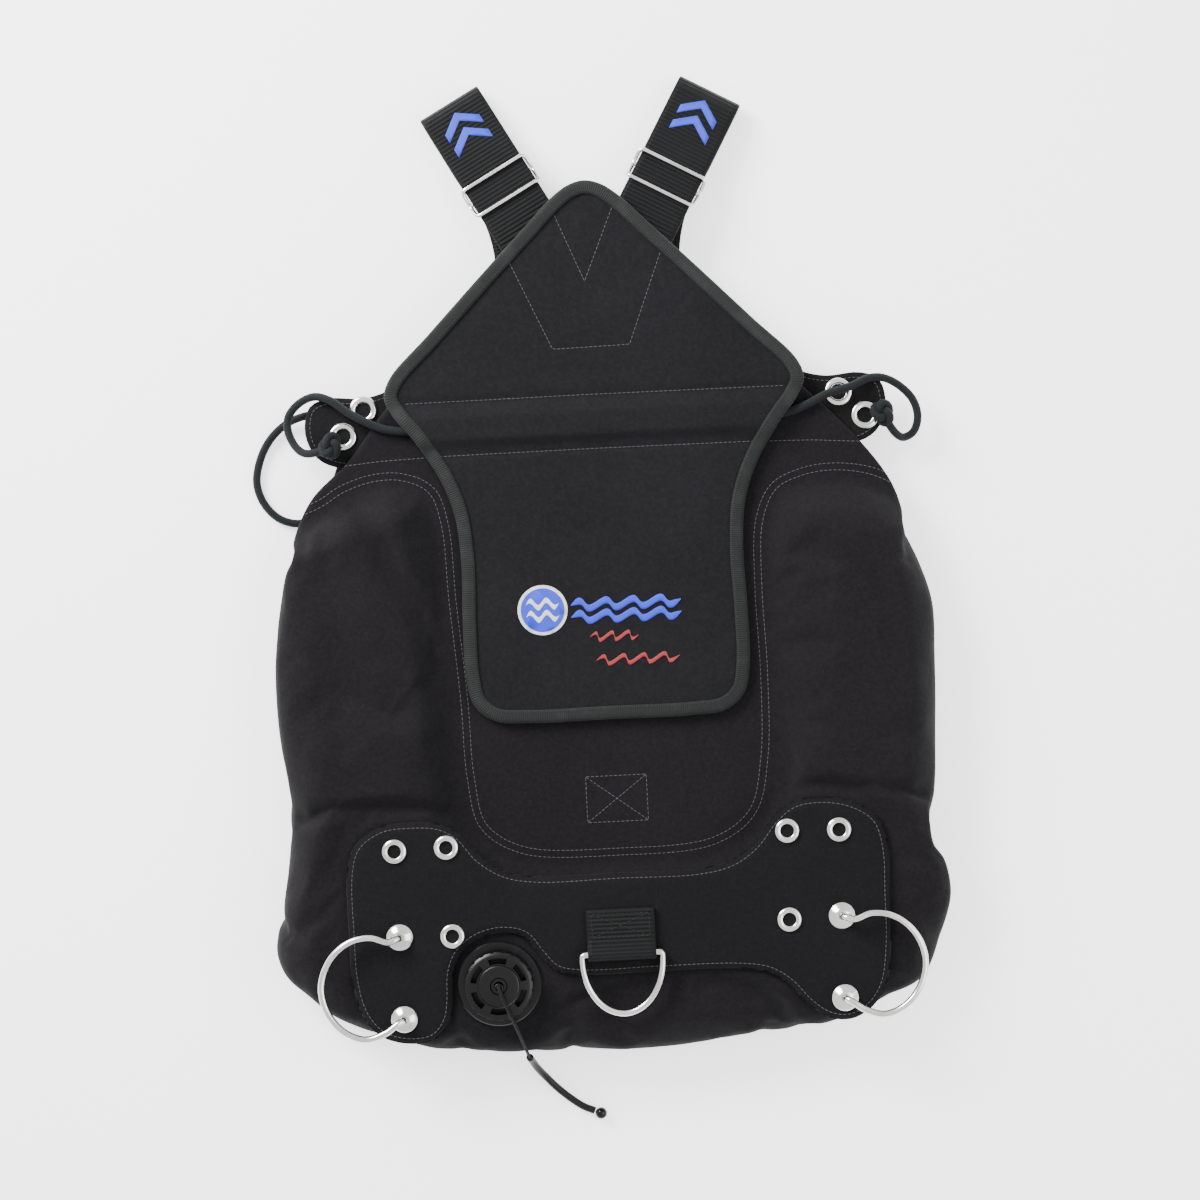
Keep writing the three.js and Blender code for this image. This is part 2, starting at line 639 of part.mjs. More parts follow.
// Pull cord, its sleeve and its bead: over the cap, off the wing's foot and onto the surface
const cordStart = stemTop + gap;
const pullRoute = [
  point(-91, -277, cordStart), point(-91, -277.4, cordStart + 2.4), point(-89.4, -282.5, cordStart + 4.2),
  point(-86.6, -290, cordStart + 3), point(-83.6, -298, cordStart + 1), point(-80.6, -306, cordStart - 4),
  point(-78, -314, 58), point(-75.6, -322, 50.5), point(-73.6, -329, 43), point(-72.2, -334.5, 34.5),
];
const sleeveRoute = [
  point(-72, -334.9, 33.9), point(-70.6, -339, 25), point(-67, -346.5, 14.6), point(-61.6, -354, 7.4),
  point(-54, -362.8, 4.1), point(-44, -371.6, 3.8), point(-34, -378.6, 3.8), point(-26, -382, 4.2),
];
add('pull_cord', rod(pullRoute, pullCord / 2, 8, 16), elasticCord, cords);
add('pull_sleeve', rod(sleeveRoute, pullSleeve / 2, 8, 9), blackRubber, cords);
const beadAt = sleeveRoute.at(-1).clone().add(
  sleeveRoute.at(-1).clone().sub(sleeveRoute.at(-2)).setLength(pullBead / 2 + gap)
);
beadAt.z = pullBead / 2 + 0.6;
add(
  'pull_bead', solid(new THREE.SphereGeometry(pullBead / 2, 12, 8).translate(beadAt.x, beadAt.y, beadAt.z)),
  blackRubber, cords,
);

// Inflator inlet under the left air cell, ready for a hose elbow
const inletFace = inletLift - gap;
const inletBore = 10;
const inletTop = inletLift + shellSheet + bladderWall + 2 * gap + 4;
const inlet = [
  [inletBore, 1.6], [14, 1.6], [14, inletFace - 2.6], [22, inletFace - 2.6], [22, inletFace],
  [inletBarrel, inletFace],
  [inletBarrel, inletTop], [inletBore, inletTop],
];
add('inflator_inlet', turned(inlet, inletAt, 16), blackPlastic);
const inletNutLow = inletLift + shellSheet + bladderWall + 2 * gap;
add(
  'inflator_inlet_nut', washer(inletBarrel + gap, 18, inletNutLow, inletNutLow + 3, inletAt, 16),
  blackPlastic,
);

// Shoulder straps: from under the cover, up and over the fold, and back under the vest
const foldRadius = 6.5;
const foldLow = 1.2 + webThick / 2;
for (const side of [-1, 1]) {
  const out = new THREE.Vector2(side * Math.sin(strapLean), Math.cos(strapLean));
  const start = new THREE.Vector2(side * strapCrossing.x, strapCrossing.y);
  const along = (distance, z) => point(start.x + out.x * distance, start.y + out.y * distance, z);
  const upperStart = coverLow - 2 * gap - bindingThick - webThick;
  const upperEnd = foldLow + 2 * foldRadius;
  const slope = (distance) => THREE.MathUtils.lerp(upperStart, upperEnd, Math.max(distance, 0) / strapReach);
  const down = (y) => point(side * strapLine, y, harnessLow + webThick / 2);
  const route = [
    along(-44, upperStart), along(-8, upperStart), along(8, slope(8)),
    along(slideCentre, slope(slideCentre)), along(strapReach - 6, slope(strapReach - 6)),
    along(strapReach, upperEnd), along(strapReach + foldRadius * 0.87, foldLow + foldRadius * 1.5),
    along(strapReach + foldRadius, foldLow + foldRadius),
    along(strapReach + foldRadius * 0.87, foldLow + foldRadius * 0.5), along(strapReach, foldLow),
    along(60, foldLow), along(10, foldLow + 2),
    point(side * (strapCrossing.x - 2), 245, harnessLow - 1), point(side * (strapLine - 5), 190, harnessLow + webThick / 2), down(140),
    down(60), down(0), down(beltY + webWidth / 2 + 4),
  ];
  const level = new THREE.Vector3(out.y, -out.x, 0);
  const across = (share) => level.clone().lerp(point(1, 0, 0), THREE.MathUtils.smoothstep(share, 0.52, 0.7));
  add(`shoulder_strap_${sideName(side)}`, strap(route, across, 44), webbing);

  // Three-bar slide: two bars over the strap and one under it, joined by side rails
  const slideLift = webThick / 2 + gap + slideBar / 2;
  const reach = webWidth / 2 + gap * 2 + slideBar;
  const bar = (y, z) => solid(
    new THREE.CylinderGeometry(
      slideBar / 2, slideBar / 2, 2 * reach, 10,
    ).rotateZ(Math.PI / 2).translate(0, y, z)
  );
  const rail = (x) => box(slideBar, slideLength, 2 * slideLift + slideBar * 0.7, point(x, 0, 0));
  const frame = join(
    bar(-slideLength / 2 + slideBar / 2, slideLift), bar(slideLength / 2 - slideBar / 2, slideLift),
    bar(0, -slideLift),
    rail(-reach + slideBar / 2), rail(reach - slideBar / 2),
  );
  const fall = Math.atan2(upperStart - upperEnd, strapReach);
  const slide = geometryOf(frame).rotateX(-fall).rotateZ(-side * strapLean);
  const seat = along(slideCentre, slope(slideCentre));
  add(`strap_slide_${sideName(side)}`, slide.translate(seat.x, seat.y, seat.z), steel);

  ringAndTab(`chest_${sideName(side)}`, flat([side * strapLine, chestTabY]), harnessLow, -1, -2);
}

// Waist belt and its cam buckle
const buckleHalf = 26;
const beltNear = 32;
const beltFar = 92;
const beltStart = 8;
const beltStep = 3.1;
for (const side of [-1, 1]) {
  const level = (layer) => harnessLow + webThick / 2 - layer * beltStep;
  const at = (x, z) => point(side * x, beltY, z);
  const route = [
    at(beltStart, level(0)), at(beltNear + 20, level(0)), at(beltFar - 5, level(0)), at(beltFar, level(0)),
    at(beltFar + beltStep / 2, level(0.5)), at(beltFar, level(1)), at(beltFar - 5, level(1)),
    at((beltNear + beltFar) / 2, level(1)), at(beltNear, level(1)), at(beltNear - beltStep / 2, level(1.5)),
    at(beltNear, level(2)),
    at((beltNear + beltFar) / 2, level(2)), at(beltFar, level(2)),
  ];
  add(`waist_belt_${sideName(side)}`, strap(route, () => point(0, 1, 0), 36), webbing);
}
const frameHigh = harnessLow - gap;
const cheek = 2;
const cheekLow = 1.6;
const frameDepth = webWidth + 6;
const pinAt = point(-buckleHalf + 6, beltY, harnessLow - 5.8);
const pinRadius = 1.5;
const alongY = (radius, length, at) =>
  solid(new THREE.CylinderGeometry(radius, radius, length, 12).translate(at.x, at.y, at.z));
const buckle = join(
  box(2 * buckleHalf, frameDepth, cheek, point(0, beltY, frameHigh - cheek / 2)),
  ...[-1, 1].map((side) =>
    box(
      2 * buckleHalf, cheek, frameHigh - cheekLow,
      point(0, beltY + side * (frameDepth - cheek) / 2, (frameHigh + cheekLow) / 2),
    ),
  ),
);
add('buckle_frame', buckle.subtract(alongY(pinRadius + gap / 3, 2 * frameDepth, pinAt)), steel);
add('buckle_pin', alongY(pinRadius, frameDepth + 1.5, pinAt), steel);
const leverDepth = frameDepth - 2 * cheek - 4 * gap;
const knuckle = pinRadius + gap / 2 + 1.4;
const leverLength = 2 * buckleHalf - 8;
const lever = join(
  alongY(knuckle, leverDepth, pinAt),
  box(leverLength, leverDepth, 1.8, point(pinAt.x + leverLength / 2, beltY, pinAt.z - knuckle + 0.9)),
).subtract(alongY(pinRadius + gap / 2, 2 * frameDepth, pinAt));
add('buckle_lever', lever, steel);

// Crotch strap, folded flat below the belt under the stitched anchor
const layerStep = 3.6;
const foldNear = -122;
const foldFar = -176;
const firstLayer = plateLow - 2 * gap - webThick / 2;
const layers = 4;
const crotchRoute = [];
for (let layer = 0; layer < layers; layer++) {
  const z = firstLayer - layer * layerStep;
  const [from, to] = layer % 2 ? [foldFar, foldNear] : [foldNear, foldFar];
  crotchRoute.push(point(0, from, z), point(0, (from + to) / 2, z), point(0, to, z));
  if (layer + 1 < layers) crotchRoute.push(
    point(0, to + Math.sign(to - from) * layerStep * 0.5, z - layerStep / 2)
  );
}
add('crotch_strap', strap(crotchRoute, () => point(1, 0, 0), 48), webbing);

// Ear grommets, bungee cords and their knots
for (const [side, places] of Object.entries(earGrommets))
  places.forEach(
    (at, i) => grommet(
      `ear_grommet_${side}_${i + 1}`, earGrommetRadius, earGrommetHole, flat(at), plateHigh, plateThick,
    )
  );

const cordRadius = bungee / 2;
const knotLevel = plateHigh + 2 * gap + grommetRim + 5.6;
const knots = [[-197, 124, 1.2], [212.5, 128.5, -1.2]].map(([x, y, turn]) =>
  solid(new THREE.SphereGeometry(1, 10, 6).scale(9, 6.5, 5.6).rotateZ(turn).translate(x, y, knotLevel)),
);
add('bungee_main', join(rod(bungeeRoute, cordRadius, 8, 44), ...knots), elasticCord, cords);
const loopEnd = plateLow - gap - 6.5;
const loopRoute = [
  point(-188, 131, loopEnd), point(-189, 119, loopEnd - 2.5), point(-194, 104, loopEnd - 7),
  point(-202, 88, 6.6), point(-212, 75.5, 4.4), point(-225, 69, 4), point(-240, 73, 4),
  point(-251, 84.5, 4), point(-256, 100, 4), point(-253, 117, 4), point(-245, 132, 4.6),
  point(-232, 143.5, 7), point(-218, 148.5, 11), point(-202, 150, 14.5), point(-186, 150.5, loopEnd),
  point(-172, 150, loopEnd),
];
const stopperRadius = 8;
const stopper = (at) => solid(
  new THREE.SphereGeometry(stopperRadius, 12, 8).translate(at.x, at.y, plateLow - stopperRadius * 0.75)
);
add(
  'bungee_side_loop',
  join(rod(loopRoute, cordRadius, 8, 22), stopper(loopRoute[0]), stopper(loopRoute.at(-1))), elasticCord,
  cords,
);

// The origin is the middle of the vest without its free cords, on the surface that it lies on.
const assembly = new THREE.Group();
const extent = new THREE.Box3().setFromObject(vest);
const centre = extent.getCenter(new THREE.Vector3());
assembly.add(vest, cords);
assembly.position.set(-centre.x, -centre.y, -extent.min.z);
const part = new THREE.Group();
part.add(assembly);

export default part;
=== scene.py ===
import math
import bmesh
import bpy
import numpy as np
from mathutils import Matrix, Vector, noise
from mathutils.bvhtree import BVHTree


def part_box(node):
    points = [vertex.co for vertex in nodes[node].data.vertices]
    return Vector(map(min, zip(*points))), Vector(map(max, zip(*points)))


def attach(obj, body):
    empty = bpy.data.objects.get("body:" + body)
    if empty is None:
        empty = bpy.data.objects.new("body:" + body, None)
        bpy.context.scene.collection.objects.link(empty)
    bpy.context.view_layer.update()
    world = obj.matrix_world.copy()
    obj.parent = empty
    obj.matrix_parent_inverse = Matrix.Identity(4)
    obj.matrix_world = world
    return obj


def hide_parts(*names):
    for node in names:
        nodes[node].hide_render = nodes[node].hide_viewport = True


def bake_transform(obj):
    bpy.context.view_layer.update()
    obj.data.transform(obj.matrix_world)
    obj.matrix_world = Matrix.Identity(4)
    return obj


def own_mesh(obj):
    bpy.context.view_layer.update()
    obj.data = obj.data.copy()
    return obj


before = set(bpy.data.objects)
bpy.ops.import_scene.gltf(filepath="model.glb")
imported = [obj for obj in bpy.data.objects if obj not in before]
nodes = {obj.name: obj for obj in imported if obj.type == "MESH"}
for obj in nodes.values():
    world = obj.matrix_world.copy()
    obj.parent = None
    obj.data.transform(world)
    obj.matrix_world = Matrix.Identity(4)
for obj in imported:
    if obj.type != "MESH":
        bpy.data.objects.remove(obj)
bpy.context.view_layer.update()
mm = 0.001

# ---- Places and levels, in millimetres from the vest's own middle line and belt level ----
valve_low, valve_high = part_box("valve_cap")
SHIFT = Vector(((valve_low.x + valve_high.x) / 2 / mm + 91, (valve_low.y + valve_high.y) / 2 / mm + 277, 0))


def level(node, top=True):
    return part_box(node)[1 if top else 0].z / mm


GAP = 0.35  # clear space between pieces that touch
LOBE_TOP = level("wing_outer_shell")
WING_LOW = level("wing_inner_shell") - 2
WING_HIGH = level("wing_inner_shell") + GAP + 2
COVER_LOW, COVER_HIGH = level("cover_flap", False), level("cover_flap")
PLATE_LOW, PLATE_HIGH = level("harness_plate", False), level("harness_plate")
PAD_LOW, PAD_HIGH = level("back_pad", False), level("back_pad")
PANEL_LOW, PANEL_HIGH = level("butt_panel", False), level("butt_panel")
WEB_WIDTH, WEB_THICK = 50, 2.2
HARNESS_LOW = PAD_LOW - GAP - WEB_THICK
UNDER_COVER = COVER_LOW - 2 * GAP - 1.6
CHANNEL_RISE = level("back_cover") - COVER_HIGH
HINGE_Y, HINGE_BAND = 112, 13
WING_MIDDLE, STRAP_FOOT, CHEST_X = (0, -60), (46, 283), 60
VALVE = (-91, -277)
INLET = (-178, -15)
BUTT_GROMMETS = [(s * x, y) for s in (-1, 1) for x, y in ((125, -175), (163, -176), (123.5, -240))]
RAIL_POSTS = ((162, -239), (161.5, -299))
EAR_GROMMETS = [(-172, 150), (-188, 131), (181, 146), (200, 128)]


def at(x, y, z=0.0):
    """A place on the vest, in metres in the shared frame."""
    return Vector(((x + SHIFT.x) * mm, (y + SHIFT.y) * mm, z * mm))


# ---- Outlines ----
WING = [
    (-20, -333), (39, -332), (91, -328), (165, -317), (193, -304), (221, -290), (234, -262), (245, -233),
    (246, -210), (241, -188), (240, -170), (244, -144), (246, -86), (246, -49), (245, -12), (237, 18),
    (231, 35), (224, 60), (217, 79), (197, 108), (152, 155), (110, 190), (60, 215), (0, 222), (-60, 215),
    (-110, 190), (-154, 152), (-185, 113), (-214, 86), (-229, 56), (-234, 38), (-239, 12), (-243, -17),
    (-246, -46), (-247, -76), (-246, -105), (-245, -135), (-246, -164), (-249, -193), (-254, -222),
    (-256, -250), (-249, -268), (-232, -283), (-211, -300), (-174, -316), (-137, -326), (-79, -331),
]
SEAM = [
    (-275, 66), (-225, 72), (-205, 80), (-190, 89), (-168, 96), (-146, 96), (-126, 86), (-118, 62),
    (-115, 5), (-110, -68), (-108, -127), (-100, -164), (-71, -184), (0, -189), (74, -184), (104, -163),
    (115, -123), (118, -60), (117, 5), (120, 53), (131, 76), (150, 85), (172, 88), (200, 84), (225, 72),
    (275, 62),
]


def both_sides(half):
    return half + [(-x, y) for x, y in reversed(half) if x > 0]


COVER = both_sides([
    (0, -88), (60, -88), (86, -85), (100, -73), (105, -52), (105.5, -10), (104.5, 35), (108, 70), (118, 97),
    (136, 126), (150, 144), (155.5, 157), (151, 171), (120, 203), (80, 244), (45, 279), (25, 299),
    (12, 308), (0, 311),
])
PLATE = both_sides([
    (0, -184), (45, -183), (72, -160), (82, -110), (86, 60), (104, 104), (150, 108), (192, 108), (208, 116),
    (216, 134), (212, 154), (198, 160), (170, 159), (145, 168), (105, 208), (66, 248), (34, 280), (0, 292),
])
PAD = both_sides([
    (0, -112), (50, -112), (68, -104), (75, -84), (77, 20), (84, 80), (86, 120), (70, 165), (44, 205),
    (0, 222),
])
PANEL = [
    (30, -271), (86, -272), (108, -276), (123, -286), (136, -301), (150, -311), (165, -313), (180, -305),
    (190, -290), (195, -262), (196, -225), (196, -190), (190, -170), (172, -158), (150, -154), (130, -157),
    (116, -168), (102, -185), (84, -197), (60, -202), (0, -202), (-60, -202), (-84, -197), (-102, -185),
    (-116, -168), (-130, -160), (-150, -158), (-172, -160), (-190, -172), (-196, -190), (-197, -235),
    (-196, -270), (-190, -294), (-178, -309), (-160, -315), (-141, -313), (-131, -301), (-128, -285),
    (-127, -268), (-121, -253), (-108, -242), (-88, -237), (-70, -241), (-59, -255), (-48, -267),
    (-30, -271),
]


def spline(points, spacing=None, count=None, closed=False):
    """Evenly spaced points on a smooth curve through the given ones."""
    p = np.array(points, float)
    ends = (p[-1], p[0], p[1]) if closed else (2 * p[0] - p[1], 2 * p[-1] - p[-2])
    ring = np.vstack([ends[0], p, *ends[1:]])
    fine = []
    for a, b, c, d in zip(ring, ring[1:], ring[2:], ring[3:]):
        t0 = 0.0
        t1 = t0 + max(np.linalg.norm(b - a), 1e-9) ** 0.5
        t2 = t1 + max(np.linalg.norm(c - b), 1e-9) ** 0.5
        t3 = t2 + max(np.linalg.norm(d - c), 1e-9) ** 0.5
        t = np.linspace(t1, t2, 24, endpoint=False)[:, None]
        ab = (t1 - t) / (t1 - t0) * a + (t - t0) / (t1 - t0) * b
        bc = (t2 - t) / (t2 - t1) * b + (t - t1) / (t2 - t1) * c
        cd = (t3 - t) / (t3 - t2) * c + (t - t2) / (t3 - t2) * d
        abc = (t2 - t) / (t2 - t0) * ab + (t - t0) / (t2 - t0) * bc
        bcd = (t3 - t) / (t3 - t1) * bc + (t - t1) / (t3 - t1) * cd
        fine.append((t2 - t) / (t2 - t1) * abc + (t - t1) / (t2 - t1) * bcd)
    fine = np.vstack(fine + [p[:1] if closed else p[-1:]])
    return even(fine, spacing, count, closed)


def even(points, spacing=None, count=None, closed=False):
    """The same line with evenly spaced points."""
    fine = np.array(points, float)
    run = np.concatenate([[0], np.cumsum(np.linalg.norm(np.diff(fine, axis=0), axis=1))])
    count = count or max(int(round(run[-1] / spacing)), 2) + (0 if closed else 1)
    where = np.linspace(0, run[-1], count, endpoint=not closed)
    return np.column_stack([np.interp(where, run, fine[:, k]) for k in range(fine.shape[1])])


def length(points):
    return float(np.linalg.norm(np.diff(np.array(points), axis=0), axis=1).sum())


def moved_out(outline, distance):
    """A closed outline, counterclockwise, moved outwards; a negative distance moves it in."""
    p = np.array(outline)
    along = np.roll(p, -1, axis=0) - np.roll(p, 1, axis=0)
    along /= np.linalg.norm(along, axis=1)[:, None]
    return p + distance * np.column_stack([along[:, 1], -along[:, 0]])


def moved_line(line, distance):
    """An open line moved to its left."""
    p = np.array(line, float)
    along = np.gradient(p, axis=0)
    along /= np.linalg.norm(along, axis=1)[:, None]
    return p + distance * np.column_stack([-along[:, 1], along[:, 0]])


def distance_to(points, path, closed=False):
    p = np.array(points, float)[:, None, :2]
    line = np.array(path, float)[:, :2]
    if closed:
        line = np.vstack([line, line[:1]])
    a, b = line[None, :-1], line[None, 1:]
    share = np.clip(((p - a) * (b - a)).sum(2) / np.maximum(((b - a) ** 2).sum(2), 1e-9), 0, 1)
    return np.linalg.norm(p - a - share[:, :, None] * (b - a), axis=2).min(1)


def inside(points, outline):
    p = np.array(points, float)[:, None, :2]
    a = np.array(outline, float)[None, :, :2]
    b = np.roll(a, -1, axis=1)
    crosses = (a[..., 1] > p[..., 1]) != (b[..., 1] > p[..., 1])
    rise = np.where(b[..., 1] == a[..., 1], 1e-9, b[..., 1] - a[..., 1])
    left = p[..., 0] < (b[..., 0] - a[..., 0]) * (p[..., 1] - a[..., 1]) / rise + a[..., 0]
    return (crosses & left).sum(1) % 2 == 1


def smoothstep(x, low, high):
    t = np.clip((x - low) / (high - low), 0, 1)
    return t * t * (3 - 2 * t)


def ripple(xy, scale, seed=0.0):
    """Soft, even noise over the sheet, from about -1 to 1."""
    return np.array(
        [noise.fractal(Vector((x / scale, y / scale, seed)), 1.0, 2.0, 3) for x, y in xy[:, :2]]
    )


# ---- Finishes ----
def linear(*colour):
    return [((c / 255 + 0.055) / 1.055) ** 2.4 if c > 10 else c / 255 / 12.92 for c in colour] + [1]


class Wire:
    """A shader socket that takes part in sums."""

    def __init__(self, finish, socket):
        self.finish, self.socket = finish, socket

    def maths(self, operation, *others):
        inputs = {0: self, **{i + 1: other for i, other in enumerate(others)}}
        return self.finish.node("ShaderNodeMath", {"operation": operation}, inputs)

    def __add__(self, other):
        return self.maths("ADD", other)

    __radd__ = __add__

    def __mul__(self, other):
        return self.maths("MULTIPLY", other)

    __rmul__ = __mul__

    def __sub__(self, other):
        return self.maths("SUBTRACT", other)

    def __rsub__(self, other):
        return self.finish.node("ShaderNodeMath", {"operation": "SUBTRACT"}, {0: other, 1: self})

    def __abs__(self):
        return self.maths("ABSOLUTE")

    def sin(self):
        return self.maths("SINE")

    def clamped(self):
        return self.finish.node("ShaderNodeClamp", {}, {0: self})

    def above(self, low, high):
        """0 below low, 1 above high, smooth between."""
        settings = {"interpolation_type": "SMOOTHSTEP"}
        return self.finish.node("ShaderNodeMapRange", settings, {0: self, 1: low, 2: high})


class Finish:
    """A material whose nodes are added by name."""

    def __init__(self, name, colour, roughness, **constants):
        self.material = bpy.data.materials.new(name)
        self.material.use_nodes = True
        self.tree = self.material.node_tree
        self.shader = self.tree.nodes["Principled BSDF"]
        self.material.diffuse_color = colour
        self.set("Base Color", colour)
        self.set("Roughness", roughness)
        for key, value in constants.items():
            self.set(key.replace("_", " "), value)

    def put(self, socket, value):
        if isinstance(value, Wire):
            self.tree.links.new(value.socket, socket)
        else:
            socket.default_value = value

    def set(self, socket, value):
        self.put(self.shader.inputs[socket], value)

    def node(self, kind, settings, inputs, output=0):
        made = self.tree.nodes.new(kind)
        for key, value in settings.items():
            setattr(made, key, value)
        for key, value in inputs.items():
            self.put(made.inputs[key], value)
        return Wire(self, made.outputs[output])

    def place(self, uv=False):
        """Coordinates in metres: the object's own, or along and across a tape or cord."""
        if uv:
            return self.node("ShaderNodeUVMap", {"uv_map": "UVMap"}, {})
        return self.node("ShaderNodeTexCoord", {}, {}, "Object")

    def axes(self, place):
        made = self.tree.nodes.new("ShaderNodeSeparateXYZ")
        self.put(made.inputs[0], place)
        return [Wire(self, output) for output in made.outputs]

    def noise(self, scale, detail=3.0, place=None):
        inputs = {"Scale": scale, "Detail": detail, "Roughness": 0.55, "Vector": place or self.place()}
        return self.node("ShaderNodeTexNoise", {}, inputs, "Fac")

    def blend(self, share, a, b):
        inputs = {0: share, 6: a, 7: b}
        return self.node("ShaderNodeMix", {"data_type": "RGBA"}, inputs, 2)

    def relief(self, height, depth):
        inputs = {"Height": height, "Distance": depth, "Strength": 1.0}
        self.set("Normal", self.node("ShaderNodeBump", {}, inputs))


def weave(u, v, pitch):
    """Height of a plain weave of threads, 0 to 1, from two coordinates in metres."""
    warp = (u * (math.pi / pitch)).sin()
    weft = (v * (math.pi / pitch)).sin()
    over = (warp * weft * 1.5 + 0.5).clamped()
    return over * abs(warp) + (1 - over) * abs(weft)


def woven(name, colour, light, pitch, depth, turn=0.0):
    """Coated pack cloth: a plain weave with painted highlights on its raised threads, grain from uneven
    yarns, faint scuffs and lint.
    """
    f = Finish(name, colour, 0.82, Sheen_Weight=0.04, Sheen_Roughness=0.5, Specular_IOR_Level=0.09)
    place = f.node("ShaderNodeMapping", {}, {"Vector": f.place(), "Rotation": (0, 0, turn)})
    x, y, z = f.axes(place)
    cloth = weave(x, y + z, pitch)
    yarn = f.noise(1 / (3.5 * pitch), 2.0, place)
    cloud = f.noise(14, 4.0, place)
    lint = f.noise(1900, 1.0, place).above(0.71, 0.78) * 0.5
    # The weave's raised threads are painted lighter: painted highlight, with painted shade between them;
    # the yarn grain and the cloud are tone that differs at random.
    tone_and_highlight = (yarn.above(0.3, 0.72) * 0.45 + cloth * 0.25 + cloud.above(0.35, 0.7) * 0.3).clamped()
    f.set("Base Color", f.blend(lint, f.blend(tone_and_highlight, colour, light), linear(70, 68, 72)))
    f.set("Roughness", 0.72 + cloud * 0.14)
    f.relief(cloth * 0.7 + yarn * 1.1, depth)
    return f.material


def ribbed_tape(name, colour, light):
    f = Finish(name, colour, 0.7, Sheen_Weight=0.08, Specular_IOR_Level=0.2)
    ribs = abs((f.axes(f.place(uv=True))[0] * (math.pi / 0.0016)).sin())
    grain = f.noise(900, 2.0)
    worn = f.noise(60, 3.0).above(0.45, 0.7)
    # The rib crests are painted lighter than the grooves: painted highlight and painted shade; the worn
    # patches are real wear.
    f.set("Base Color", f.blend((ribs * 0.55 + worn * 0.45).clamped(), colour, light))
    f.set("Roughness", 0.62 + grain * 0.16)
    f.relief(ribs + grain * 0.4, 0.00032)
    return f.material


def belting(name, colour, light):
    """Nylon belting: raised ribs across it, fine yarns along it and a tighter edge."""
    f = Finish(name, colour, 0.62, Sheen_Weight=0.03, Specular_IOR_Level=0.12)
    along, across, _ = f.axes(f.place(uv=True))
    ribs = abs((along * (math.pi / 0.0031)).sin())
    yarns = abs((across * (math.pi / 0.0012) + abs((along * (math.pi / 0.0031)).sin()) * 1.4).sin())
    edge = abs(across).above(0.0218, 0.0226)
    grain = f.noise(700, 2.0)
    worn = f.noise(45, 3.0).above(0.4, 0.75)
    height = ribs * (1 - edge * 0.6) + yarns * 0.35
    # The raised ribs and yarns are painted lighter than the hollows: painted highlight and painted shade;
    # grain and worn patches are tone that differs at random.
    f.set(
        "Base Color",
        f.blend((ribs * 0.45 + yarns * 0.2 + grain * 0.25 + worn * 0.2 - 0.12).clamped(), colour, light),
    )
    f.set("Roughness", 0.5 + grain * 0.2)
    f.relief(height + grain * 0.25, 0.00055)
    return f.material


def braided(name, colour, light, diameter):
    f = Finish(name, colour, 0.68, Sheen_Weight=0.03, Specular_IOR_Level=0.15)
    along, around, _ = f.axes(f.place(uv=True))
    turns = around * (2 * math.pi * 6)
    pitch = 2 * math.pi / (diameter * 0.75)
    one = abs((along * pitch + turns).sin())
    other = abs((along * pitch - turns).sin())
    braid = one.maths("MAXIMUM", other)
    grain = f.noise(1500, 2.0)
    # The strand crowns are painted lighter: painted highlight, with painted shade between the strands; the
    # grain is tone that differs at random.
    f.set("Base Color", f.blend((braid.above(0.5, 1.0) * 0.7 + grain * 0.3).clamped(), colour, light))
    f.set("Roughness", 0.6 + grain * 0.15)
    f.relief(braid + grain * 0.3, 0.0004)
    return f.material


def bright_steel():
    f = Finish("polished_steel", linear(226, 224, 221), 0.16, Metallic=1.0, Coat_Weight=0.1)
    smear = f.noise(35, 4.0)
    hair = f.noise(2600, 1.0, f.node("ShaderNodeMapping", {}, {"Vector": f.place(), "Scale": (1, 0.06, 1)}))
    f.set("Base Color", f.blend(smear.above(0.35, 0.7), linear(206, 205, 203), linear(236, 235, 233)))
    f.set("Roughness", 0.1 + smear * 0.14 + hair.above(0.6, 0.8) * 0.12)
    f.relief(hair, 0.00003)
    return f.material


def moulded(name, colour, light, roughness=0.36, grain_depth=0.00006):
    f = Finish(name, colour, roughness, Specular_IOR_Level=0.24, Coat_Weight=0.03)
    grain = f.noise(2400, 2.0)
    wear = f.noise(120, 4.0)
    f.set("Base Color", f.blend(wear.above(0.55, 0.75) * 0.5, colour, light))
    f.set("Roughness", roughness - 0.06 + wear * 0.16)
    f.relief(grain, grain_depth)
    return f.material


def spacer_mesh():
    f = Finish("spacer_mesh", linear(38, 38, 42), 0.88, Sheen_Weight=0.25, Specular_IOR_Level=0.3)
    x, y, _ = f.axes(f.place())
    holes = (x * (math.pi / 0.0016)).sin() * (y * (math.pi / 0.0022)).sin()
    shaded_pores = abs(holes).above(0.45, 0.85)
    fuzz = f.noise(1400, 2.0)
    # The pores are painted near black: painted shade in the holes of the mesh.
    f.set("Base Color", f.blend(shaded_pores, linear(46, 46, 51), linear(14, 14, 16)))
    f.set("Roughness", 0.8 + fuzz * 0.15)
    f.relief(1 - shaded_pores + fuzz * 0.25, 0.0006)
    return f.material


def pile(name, colour, light, size):
    f = Finish(name, colour, 0.92, Sheen_Weight=0.08, Specular_IOR_Level=0.15)
    loops = f.node("ShaderNodeTexVoronoi", {}, {"Vector": f.place(), "Scale": 1 / size}, "Distance")
    # The loop tops are painted lighter and the gaps between the loops darker: painted highlight and painted
    # shade.
    f.set("Base Color", f.blend(loops.above(0.1, 0.6), light, colour))
    f.relief(1 - loops, 0.0005)
    return f.material


def film():
    f = Finish("bladder_film", linear(188, 150, 58), 0.4, Coat_Weight=0.3)
    cloud = f.noise(40, 3.0)
    f.set("Base Color", f.blend(cloud, linear(176, 138, 50), linear(204, 168, 82)))
    f.set("Roughness", 0.32 + cloud * 0.15)
    f.relief(f.noise(220, 3.0), 0.0003)
    return f.material


